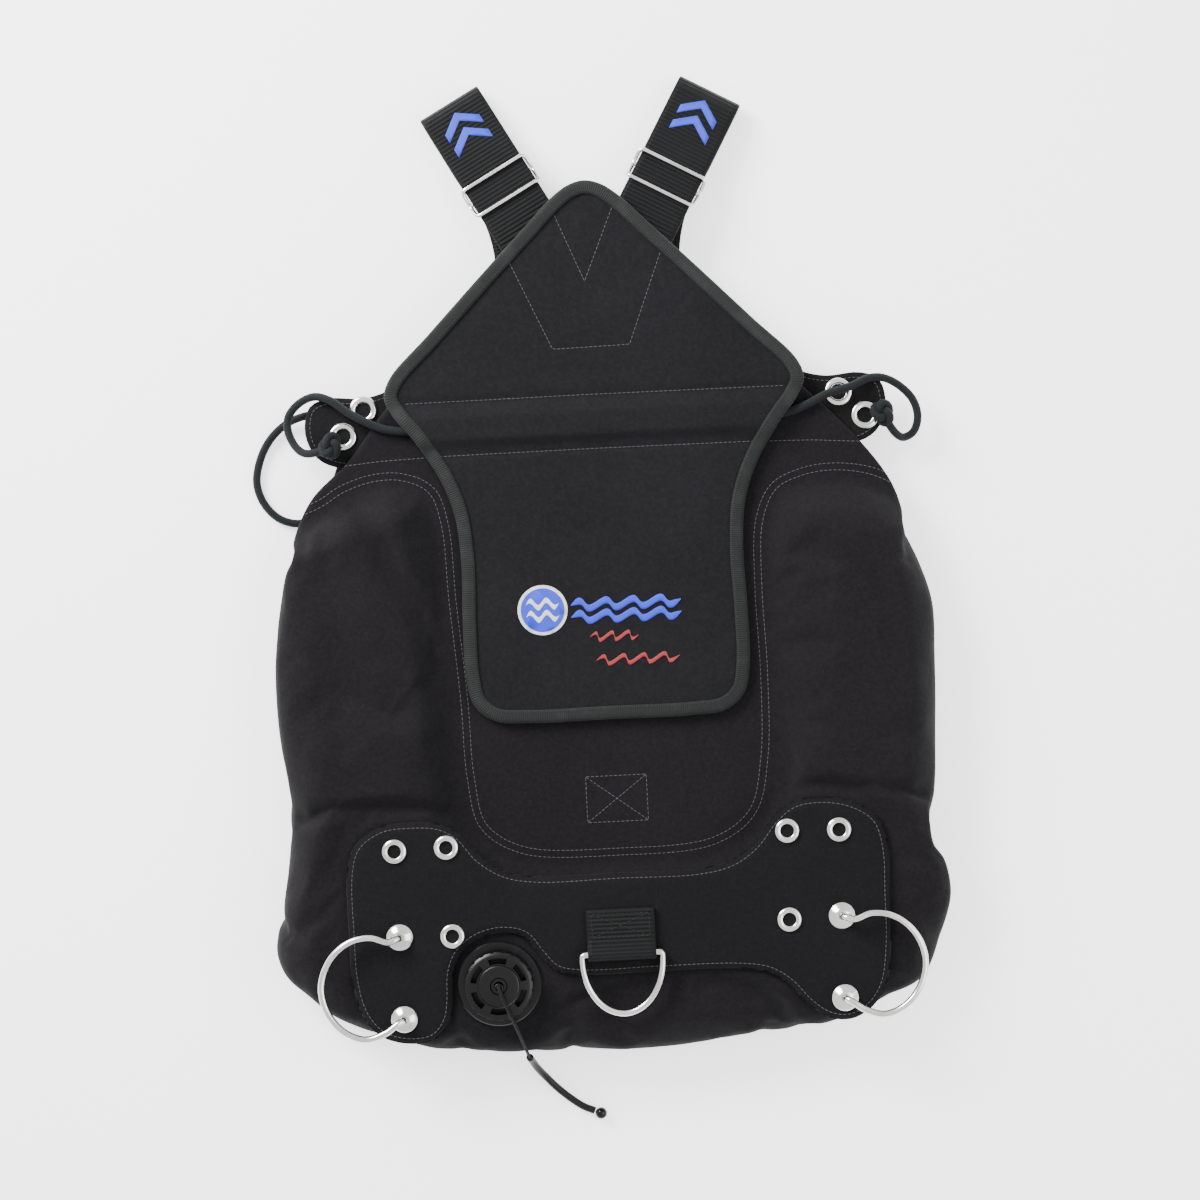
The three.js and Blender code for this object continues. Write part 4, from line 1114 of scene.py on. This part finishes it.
cover_shares = np.concatenate([np.linspace(0, 0.9, 62), np.linspace(0.91, 0.985, 7), [1]])
cover = pillow(
    "back_cover_cloth", moved_out(cover_edge, -1.9), (0, HINGE_Y), cover_shares, cover_top, cover_bottom,
    COVER_CLOTH,
)
cover_surface = surface(cover)

middle = (level("cover_flap_binding") + level("cover_flap_binding", False)) / 2
line = moved_out(cover_edge, -5)
path = np.column_stack([line, middle + channel(line[:, 1])])
outwards = np.column_stack([moved_out(cover_edge, 1) - cover_edge, np.zeros(len(line))])
fold = [
    (-5, 2.5), (-4.5, 3.2), (-3, 3.4), (0, 3.45), (2.6, 3.35), (4.1, 2.7), (4.9, 1.3), (4.9, -1.3),
    (4.1, -2.7),
]
fold += [(2.6, -3.35), (0, -3.45), (-3, -3.4), (-4.5, -3.2), (-5, -2.5)]
binding = sweep("cover_binding", path, fold, TAPE, outwards, closed=True)
binding_surface = surface(binding)
edge_row = moved_out(cover_edge, -8.2)
edge_stitches = stitched(
    "binding_stitches", [np.vstack([edge_row, edge_row[:1]])], binding_surface, DARK_THREAD, 3.0, 2.1, 0.42,
)
cover_stitches = stitched("cover_stitches", SEWN_ACROSS + YOKE, cover_surface)
for piece, name, node in (
    (cover, "cover_fabric", ("back_cover", "cover_flap")),
    (binding, "binding", ("back_cover_binding", "cover_flap_binding")),
    (edge_stitches, "cord", ()), (cover_stitches, "cord", ()),
):
    at(0, HINGE_Y + HINGE_BAND, COVER_HIGH)
    at(0, HINGE_Y - HINGE_BAND, COVER_HIGH)
    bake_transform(piece)
    if node:
        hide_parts(*node)


# ---- Embroidered wave badge ----
def patch(name, outline, tree, material, lift):
    """A flat shape of thread laid on a surface."""
    pick()
    mesh = bpy.data.meshes.new(name)
    n = len(outline)
    shape = [Vector((x, y, 0)) for x, y in outline]
    mesh.from_pydata(shape, [], [tuple(range(n))])
    build = bmesh.new()
    build.from_mesh(mesh)
    bmesh.ops.triangulate(build, faces=build.faces)
    bmesh.ops.subdivide_edges(build, edges=build.edges, cuts=2, use_grid_fill=True)
    build.to_mesh(mesh)
    build.free()
    faces = [tuple(f.vertices) for f in mesh.polygons]
    rims = [tuple(e.vertices) for e in mesh.edges]
    count = len(mesh.vertices)
    low, high = [], []
    for v in mesh.vertices:
        hit, normal = drop(tree, v.co.x, v.co.y)
        low.append(hit - normal * 0.1 * mm)
        high.append(hit + normal * lift * mm)
    used = {}
    for f in faces:
        for a, b in zip(f, f[1:] + f[:1]):
            key = (min(a, b), max(a, b))
            used[key] = used.get(key, 0) + 1
    walls = [(a, b, b + count, a + count) for a, b in rims if used.get((min(a, b), max(a, b))) == 1]
    both = [tuple(reversed(f)) for f in faces] + [tuple(i + count for i in f) for f in faces] + walls
    return new_piece(name, low + high, both, material)


def disc_outline(centre, radius, count=48):
    return [
        (
            centre[0] + radius * math.cos(2 * math.pi * k / count),
            centre[1] + radius * math.sin(2 * math.pi * k / count),
        )
        for k in range(count)
    ]


def wave_outline(left, right, middle_y, rise, wavelength, width, lean=0.0, count=60):
    """A ribbon that runs in waves."""
    xs = np.linspace(left, right, count)
    swing = rise * np.sin(2 * np.pi * (xs - left) / wavelength)
    taper = width / 2 * np.minimum(1, np.minimum(xs - left, right - xs) / 4 + 0.15)
    upper = [(x + lean * s, middle_y + s + t) for x, s, t in zip(xs, swing, taper)]
    lower = [(x + lean * s, middle_y + s - t) for x, s, t in zip(xs, swing, taper)]
    return upper + lower[::-1]


badge = (-46, -5)
marks = [
    ("badge_rim", disc_outline(badge, 18.5), WHITE_THREAD, 0.35),
    ("badge_disc", disc_outline(badge, 16.2), BLUE_THREAD, 0.6),
    ("badge_wave_upper", wave_outline(-58, -34, -0.5, 2.6, 12, 4), WHITE_THREAD, 0.85),
    ("badge_wave_lower", wave_outline(-58, -34, -9.5, 2.6, 12, 4), WHITE_THREAD, 0.85),
    ("blue_wave_upper", wave_outline(-25, 56, -2.5, 2.8, 20, 5.4, 0.5), BLUE_THREAD, 0.5),
    ("blue_wave_lower", wave_outline(-25, 56, -11.5, 2.8, 20, 5.4, 0.5), BLUE_THREAD, 0.5),
    ("red_wave_short", wave_outline(-12, 24, -26.5, 2.6, 12, 3, 0.6), RED_THREAD, 0.5),
    ("red_wave_long", wave_outline(-8, 53, -44, 2.8, 15, 3.2, 0.6), RED_THREAD, 0.5),
]
for name, outline, thread, lift in marks:
    goes(patch(name, outline, cover_surface, thread, lift), "flap")

# ---- Stitching on the wing ----
wing_surface = surface(wing)
seam_stitch = spline(SEAM[1:-1], spacing=2)
seam_rows = [seam_stitch, moved_line(seam_stitch, 5.2)]
box_rows = [
    [(-20.5, -130), (24.5, -130), (24.5, -164), (-20.5, -164), (-20.5, -130)],
    [(-20.5, -130), (24.5, -164)], [(-20.5, -164), (24.5, -130)],
]
shelf_rows = [[(-198, 108), (-160, 111), (-124, 112)], [(124, 112), (160, 111), (198, 108)]]
wing_stitches = stitched("wing_stitches", seam_rows + box_rows + shelf_rows, wing_surface)
goes(wing_stitches)

# ---- Harness plate with its ears, and the back pad ----
plate_edge = spline(PLATE, count=300, closed=True)


def plate_top(p):
    from_edge = distance_to(p, plate_edge, True)
    return PLATE_HIGH - 0.9 * (1 - smoothstep(from_edge, 0, 2.4)) + 0.1 * ripple(p, 20, 2.2)


def plate_bottom(p):
    return PLATE_LOW + 0.9 * (1 - smoothstep(distance_to(p, plate_edge, True), 0, 2.4))


plate_shares = np.concatenate([np.linspace(0, 0.95, 34), [0.97, 0.985, 0.994, 1]])
plate = pillow(
    "harness_plate_cloth", plate_edge, (0, 122), plate_shares, plate_top, plate_bottom, PLATE_CLOTH,
)
goes(plate, replaces=("harness_plate",))
plate_surface = surface(plate)
ear_row = moved_out(plate_edge, -4)
ear_rows = [[q for q in ear_row if s * q[0] > 128 and q[1] > 100] for s in (-1, 1)]
ear_rows = [sorted(row, key=lambda q: math.atan2(q[1] - 130, abs(q[0]) - 150)) for row in ear_rows]
plate_stitches = stitched("ear_stitches", ear_rows, plate_surface)
goes(plate_stitches)

pad_edge = spline(PAD, count=200, closed=True)
PAD_QUILTS = [
    [(-72, -20), (72, -20)], [(-74, 60), (74, 60)], [(-80, 140), (80, 140)], [(0, -112), (0, 222)],
]


def pad_top(p):
    round_edge = np.sqrt(1 - (1 - np.minimum(distance_to(p, pad_edge, True) / 7, 1)) ** 2)
    return (PAD_LOW + PAD_HIGH) / 2 + (PAD_HIGH - PAD_LOW) / 2 * round_edge


def pad_bottom(p):
    round_edge = np.sqrt(1 - (1 - np.minimum(distance_to(p, pad_edge, True) / 9, 1)) ** 2)
    height = (PAD_LOW + PAD_HIGH) / 2 - (PAD_HIGH - PAD_LOW) / 2 * round_edge
    for quilt in PAD_QUILTS:
        height += 2.4 * round_edge * np.exp(-((distance_to(p, quilt) / 6) ** 2))
    return height


pad = pillow(
    "back_pad_cloth", pad_edge, (0, 50), np.concatenate([np.linspace(0, 0.9, 34), np.linspace(0.92, 1, 8)]),
    pad_top, pad_bottom, MESH,
)
goes(pad, replaces=("back_pad",))
pad_stitches = stitched("pad_stitches", PAD_QUILTS, surface(pad), DARK_THREAD, down=False)
goes(pad_stitches)

# ---- Webbing ----
SLIDE_AT, CHEVRON_AT, STRAP_REACH = 32, 76, 100
FOLD_RADIUS, FOLD_LOW, SLIDE_WIRE = 6.5, 2.3, 1.6
UPPER_START = UNDER_COVER - WEB_THICK
UPPER_END = FOLD_LOW + 2 * FOLD_RADIUS
LEAN = math.radians(29)
LAY = HARNESS_LOW + WEB_THICK / 2
flat_tape = tape_section(WEB_WIDTH, WEB_THICK)


def slope(distance):
    return UPPER_START + (UPPER_END - UPPER_START) * max(distance, 0) / STRAP_REACH


def strap_places(side):
    out = (side * math.sin(LEAN), math.cos(LEAN))

    def along(distance, z):
        return (side * STRAP_FOOT[0] + out[0] * distance, STRAP_FOOT[1] + out[1] * distance, z)

    r, end = FOLD_RADIUS, STRAP_REACH
    route = [
        along(-44, UPPER_START), along(-8, UPPER_START), along(8, slope(8)),
        along(SLIDE_AT, slope(SLIDE_AT)),
        along(94, slope(94)), along(end, UPPER_END), along(end + r * 0.87, FOLD_LOW + r * 1.5),
        along(end + r, FOLD_LOW + r), along(end + r * 0.87, FOLD_LOW + r * 0.5), along(end, FOLD_LOW),
        along(60, FOLD_LOW), along(10, FOLD_LOW + 2),
        (side * 44, 245, HARNESS_LOW - 1), (side * 55, 190, LAY),
        *((side * CHEST_X, y, LAY) for y in (140, 60, 0, -51)),
    ]
    return out, along, route


for side, word in ((-1, "left"), (1, "right")):
    out, along, route = strap_places(side)
    path = spline(route, spacing=3)
    share = smoothstep(np.linspace(0, 1, len(path)), 0.52, 0.7)[:, None]
    sides = np.array([out[1], -out[0], 0]) * (1 - share) + np.array([1.0, 0, 0]) * share
    strap = sweep(f"strap_{word}", path, flat_tape, BELTING, sides)
    goes(strap, replaces=(f"shoulder_strap_{word}",))
    strap_surface = surface(strap)
    across = (out[1], -out[0])
    chevrons = []
    for step in (-9, 4):
        tip = [(-15, step), (0, step + 11), (15, step), (15, step + 7), (0, step + 18), (-15, step + 7)]
        spots = [(along(CHEVRON_AT + v, 0), u) for u, v in tip]
        chevrons.append([(x + across[0] * u, y + across[1] * u) for (x, y, _), u in spots])
    marks = [
        patch(f"strap_chevron_{word}_{k + 1}", line, strap_surface, BLUE_THREAD, 0.25)
        for k, line in enumerate(chevrons)
    ]
    goes(joined(f"strap_chevrons_{word}", *marks))

    lift, reach, half = WEB_THICK / 2 + GAP + SLIDE_WIRE, WEB_WIDTH / 2 + 2 * GAP + SLIDE_WIRE, 11.4
    corners = [(reach, 0), (reach, half - 3), (reach - 0.9, half - 0.9), (reach - 3, half), (0, half)]
    loop = corners + [(-x, y) for x, y in reversed(corners[:-1])] + [(-x, -y) for x, y in corners[1:]]
    loop += [(x, -y) for x, y in reversed(corners[1:-1])]
    loop = even(np.vstack([loop, loop[:1]]), 1.6)[:-1]
    rise = lift * (2 * np.minimum(np.abs(loop[:, 1]) / half, 1) ** 1.5 - 1)
    fall = math.atan2(UPPER_START - UPPER_END, STRAP_REACH)
    seat = np.array(along(SLIDE_AT, slope(SLIDE_AT)))

    def seated(points):
        x, y, z = np.array(points, float).T
        y, z = y * math.cos(fall) + z * math.sin(fall), z * math.cos(fall) - y * math.sin(fall)
        return np.column_stack(
            [seat[0] + across[0] * x + out[0] * y, seat[1] + across[1] * x + out[1] * y, seat[2] + z]
        )

    ring = rod(f"slide_frame_{word}", seated(np.column_stack([loop, rise])), SLIDE_WIRE, closed=True)
    bar = rod(
        f"slide_bar_{word}",
        seated([(x, 0, -lift) for x in (-reach, -reach / 2, reach / 2, reach)]), SLIDE_WIRE,
    )
    goes(
        joined(f"slide_{word}_frame", ring, bar), f"slide_{word}",
        replaces=(f"strap_slide_{word}",),
    )


def ring_and_tab(name, x, y, face, up, tilt, body, nodes_for):
    """A D-ring held by belting folded round its bar and sewn down; up is -1 where it hangs."""
    bar_y, bar_z = y - 29 - 5.05, face + up * (GAP + 5.05)
    low, high = face + up * (GAP + WEB_THICK / 2), face + up * (GAP + WEB_THICK * 1.5 + 0.1)
    route = [(y - 2, high), (y - 14, high), (y - 25, high + up * 0.3)]
    turns = np.radians(np.linspace(100, -100, 11)[1:-1])
    route += [(bar_y - 3.9 * math.cos(t), bar_z + up * 3.9 * math.sin(t)) for t in turns]
    route += [(y - 25, low), (y - 14, low), (y - 2, low)]
    path = spline([(x, a, b) for a, b in route], spacing=1.2)
    tab = sweep(
        f"{name}_tab_webbing", path, tape_section(WEB_WIDTH, WEB_THICK), BELTING, [(1, 0, 0)] * len(path),
    )
    goes(tab, replaces=(nodes_for[0],))
    a, b, c, d = (x - 21, y - 5), (x + 21, y - 5), (x - 21, y - 22), (x + 21, y - 22)
    rows = [[a, b], [c, d], [a, c], [b, d], [a, d], [b, c]]
    goes(stitched(f"{name}_tab_stitches", rows, surface(tab), DARK_THREAD, down=up > 0))
    half = 29.5
    bow = [(half * math.cos(t), -4 - 40 * math.sin(t)) for t in np.linspace(0, math.pi, 33)]
    corner = [(half - 1, 0), (half - 0.2, -1.2)]
    shape = [(-half + 6, 0), (0, 0), (half - 6, 0)] + corner + bow + [(-half + 0.2, -1.2), (-half + 1, 0)]
    shape = even(np.vstack([shape, shape[:1]]), 2.0)[:-1]
    lean = math.radians(tilt)
    ring = rod(
        f"{name}_d_ring",
        [(x + a, bar_y + b * math.cos(lean), bar_z + b * math.sin(lean)) for a, b in shape], 2.5,
        closed=True,
    )
    goes(ring, body, replaces=(nodes_for[1],))


ring_and_tab("rear", 0, -224, PANEL_HIGH, 1, 3, "rear_ring", ("rear_tab", "rear_ring"))
for side, word in ((-1, "left"), (1, "right")):
    ring_and_tab(
        f"chest_{word}", side * CHEST_X, 62, HARNESS_LOW, -1, -2, f"chest_ring_{word}",
        (f"chest_{word}_tab", f"chest_{word}_ring"),
    )

for side, word in ((-1, "left"), (1, "right")):
    layer = [LAY, LAY - 3.1, LAY - 6.2]
    route = [
        (8, layer[0]), (52, layer[0]), (87, layer[0]), (92, layer[0]), (93.55, layer[0] - 1.55),
        (92, layer[1]), (87, layer[1]), (62, layer[1]),
    ]
    route += [(32, layer[1]), (30.45, layer[1] - 1.55), (32, layer[2]), (62, layer[2]), (92, layer[2])]
    path = spline([(side * x, -80, z) for x, z in route], spacing=1.5)
    belt = sweep(f"belt_{word}", path, flat_tape, BELTING, [(0, 1, 0)] * len(path))
    goes(belt, replaces=(f"waist_belt_{word}",))

route, first = [], PLATE_LOW - 2 * GAP - WEB_THICK / 2
for k in range(4):
    z = first - 3.6 * k
    start, stop = (-122, -176) if k % 2 == 0 else (-176, -122)
    route += [(0, start, z), (0, (start + stop) / 2, z), (0, stop, z)]
    if k < 3:
        route.append((0, stop + math.copysign(1.8, stop - start), z - 1.8))
path = spline(route, spacing=1.5)
crotch = sweep("crotch_belt", path, flat_tape, BELTING, [(1, 0, 0)] * len(path))
goes(crotch, replaces=("crotch_strap",))

# ---- Inflator inlet ----
inlet_top = level("inflator_inlet")
inlet = [
    (10, 2.2), (10.5, 1.6), (13.4, 1.6), (14, 2.2), (14, 12.05), (21.4, 12.05), (22, 12.6), (22, 14.65),
    (12.5, 14.65), (12.5, inlet_top), (10, inlet_top),
]
goes(
    turned("inlet_elbow_seat", inlet, (*INLET, 0), BLACK, 64),
    replaces=("inflator_inlet",),
)

# ---- Cords ----
IN_CHANNEL = WING_HIGH + 2 * GAP + 3
BUNGEE = [
    (-197, 124, 34.5), (-207, 120, 33), (-217, 120, 28.5), (-224, 126, 24), (-229, 138, 22),
    (-228, 148, 22), (-220, 157, 24), (-208, 161.5, 28), (-196, 158, IN_CHANNEL - 3),
    (-184, 149, IN_CHANNEL - 1.6), (-171, 141, IN_CHANNEL), (-158, 135, IN_CHANNEL),
    (-140, 132, IN_CHANNEL), (-70, 132, IN_CHANNEL), (0, 132, IN_CHANNEL), (70, 132, IN_CHANNEL),
    (140, 132, IN_CHANNEL), (158, 138, IN_CHANNEL), (172, 144.5, IN_CHANNEL), (189, 149, IN_CHANNEL - 1.6),
    (204, 155, 28.5), (215, 155, 24), (227, 149, 20), (237, 138, 18), (240, 125, 18), (236, 114, 20),
    (228, 110, 23), (222, 113, 28.5), (218, 118, 32), (213, 127, 34.5),
]
UNDER_EAR = PLATE_LOW - GAP - 6.5
SIDE_LOOP = [
    (-188, 131, UNDER_EAR), (-189, 119, UNDER_EAR - 2.5), (-194, 104, UNDER_EAR - 7), (-202, 88, 6.6),
    (-212, 75.5, 4.4), (-225, 69, 4), (-240, 73, 4), (-251, 84.5, 4), (-256, 100, 4), (-253, 117, 4),
    (-245, 132, 4.6), (-232, 143.5, 7), (-218, 148.5, 11), (-202, 150, 14.5), (-186, 150.5, UNDER_EAR),
    (-172, 150, UNDER_EAR),
]
ON_POPPET = level("valve_poppet") + GAP
PULL = [
    (-91, -277, ON_POPPET), (-91, -277.4, ON_POPPET + 2.4), (-89.4, -282.5, ON_POPPET + 4.2),
    (-86.6, -290, ON_POPPET + 3), (-83.6, -298, ON_POPPET + 1), (-80.6, -306, ON_POPPET - 4),
    (-78, -314, 58), (-75.6, -322, 50.5), (-73.6, -329, 43), (-72.2, -334.5, 34.5),
]
SLEEVE = [
    (-72, -334.9, 33.9), (-70.6, -339, 25), (-67, -346.5, 14.6), (-61.6, -354, 7.4), (-54, -362.8, 4.1),
    (-44, -371.6, 3.8), (-34, -378.6, 3.8), (-26, -382, 4.2),
]


def tube(name, route, radius, material, spacing=1.6, sides=16, closed=False):
    path = spline(route, spacing=spacing, closed=closed)
    return sweep(name, path, circle(radius, sides), material, closed=closed), path


def knot(name, centre, turn, size=2.45, radius=2.9):
    """An overhand knot pulled tight."""
    route = []
    for t in np.linspace(0, 2 * math.pi, 40, endpoint=False):
        reach = 2 + math.cos(3 * t)
        x, y, z = reach * math.cos(2 * t) * 1.12, reach * math.sin(2 * t) * 0.85, math.sin(3 * t)
        x, y = x * math.cos(turn) - y * math.sin(turn), x * math.sin(turn) + y * math.cos(turn)
        route.append((centre[0] + size * x, centre[1] + size * y, centre[2] + size * z))
    return tube(name, route, radius, ELASTIC, 1.3, 14, True)[0]


KNOT_LEVEL = PLATE_HIGH + 2 * GAP + 2 + 5.6
bungee, bungee_path = tube("bungee_cord", BUNGEE, 3, ELASTIC)
knots = [
    knot("bungee_knot_left", (-197, 124, KNOT_LEVEL), 1.2),
    knot("bungee_knot_right", (212.5, 128.5, KNOT_LEVEL), -1.2),
]
goes(bungee, replaces=("bungee_main",))
for piece in knots:
    goes(piece)
loop, loop_path = tube("side_loop_cord", SIDE_LOOP, 3, ELASTIC)
goes(loop, replaces=("bungee_side_loop",))
stoppers = [
    knot(f"side_loop_stopper_{k + 1}", (x, y, PLATE_LOW - GAP - 5.2), 0.4 + k, 2.0, 2.7)
    for k, (x, y) in enumerate(((-188, 131), (-172, 150)))
]
for piece in stoppers:
    goes(piece)
pull, pull_path = tube("pull_line", PULL, 1.25, LINE, 1.0, 12)
sleeve, sleeve_path = tube("pull_line_sleeve", SLEEVE, 2.75, RUBBER, 1.2)
last, before = np.array(SLEEVE[-1]), np.array(SLEEVE[-2])
tip = last + (last - before) / np.linalg.norm(last - before) * (4.5 + GAP)
pick()
bpy.ops.mesh.primitive_uv_sphere_add(
    segments=32, ring_count=20, radius=4.4 * mm, location=at(tip[0], tip[1], 5.1),
)
bead = bpy.context.object
bead.name = "pull_line_bead"
bpy.ops.object.transform_apply()
bead.data.materials.append(GLOSSY)
bpy.ops.object.shade_smooth()
for piece, node in ((pull, "pull_cord"), (sleeve, "pull_sleeve"), (bead, "pull_bead")):
    goes(piece, "valve_poppet", replaces=(node,))


def metres(path):
    return [tuple(at(*point)) for point in path]


tuple(at(*BUNGEE[0]))
length(bungee_path) * mm
metres(bungee_path)
tuple(at(*SIDE_LOOP[0]))
length(loop_path) * mm
metres(loop_path)
tuple(at(*PULL[0]))
length(pull_path) * mm
metres(pull_path)
tuple(at(*SLEEVE[0]))
length(sleeve_path) * mm
metres(sleeve_path)

# ---- Pieces of the frame that keep their shape ----
for name, finish_used, width in (
    ("butt_stiffener", BLACK, 0.5), ("rail_backing_left", STEEL, 0.4), ("rail_backing_right", STEEL, 0.4),
    ("valve_retaining_nut", BLACK, 0.4), ("valve_seal", RUBBER, 0.2), ("valve_poppet", BLACK, 0.3),
    ("inflator_inlet_nut", BLACK, 0.4), ("closure_loop_strip", LOOPS, 0.2),
    ("closure_hook_strip", HOOKS, 0.2),
    ("buckle_frame", STEEL, 0.5), ("buckle_pin", STEEL, 0.3), ("buckle_lever", STEEL, 0.5),
):
    node = nodes[name]
    for place in node.material_slots:
        place.material = finish_used
    rounded(node, width, 3, 40)
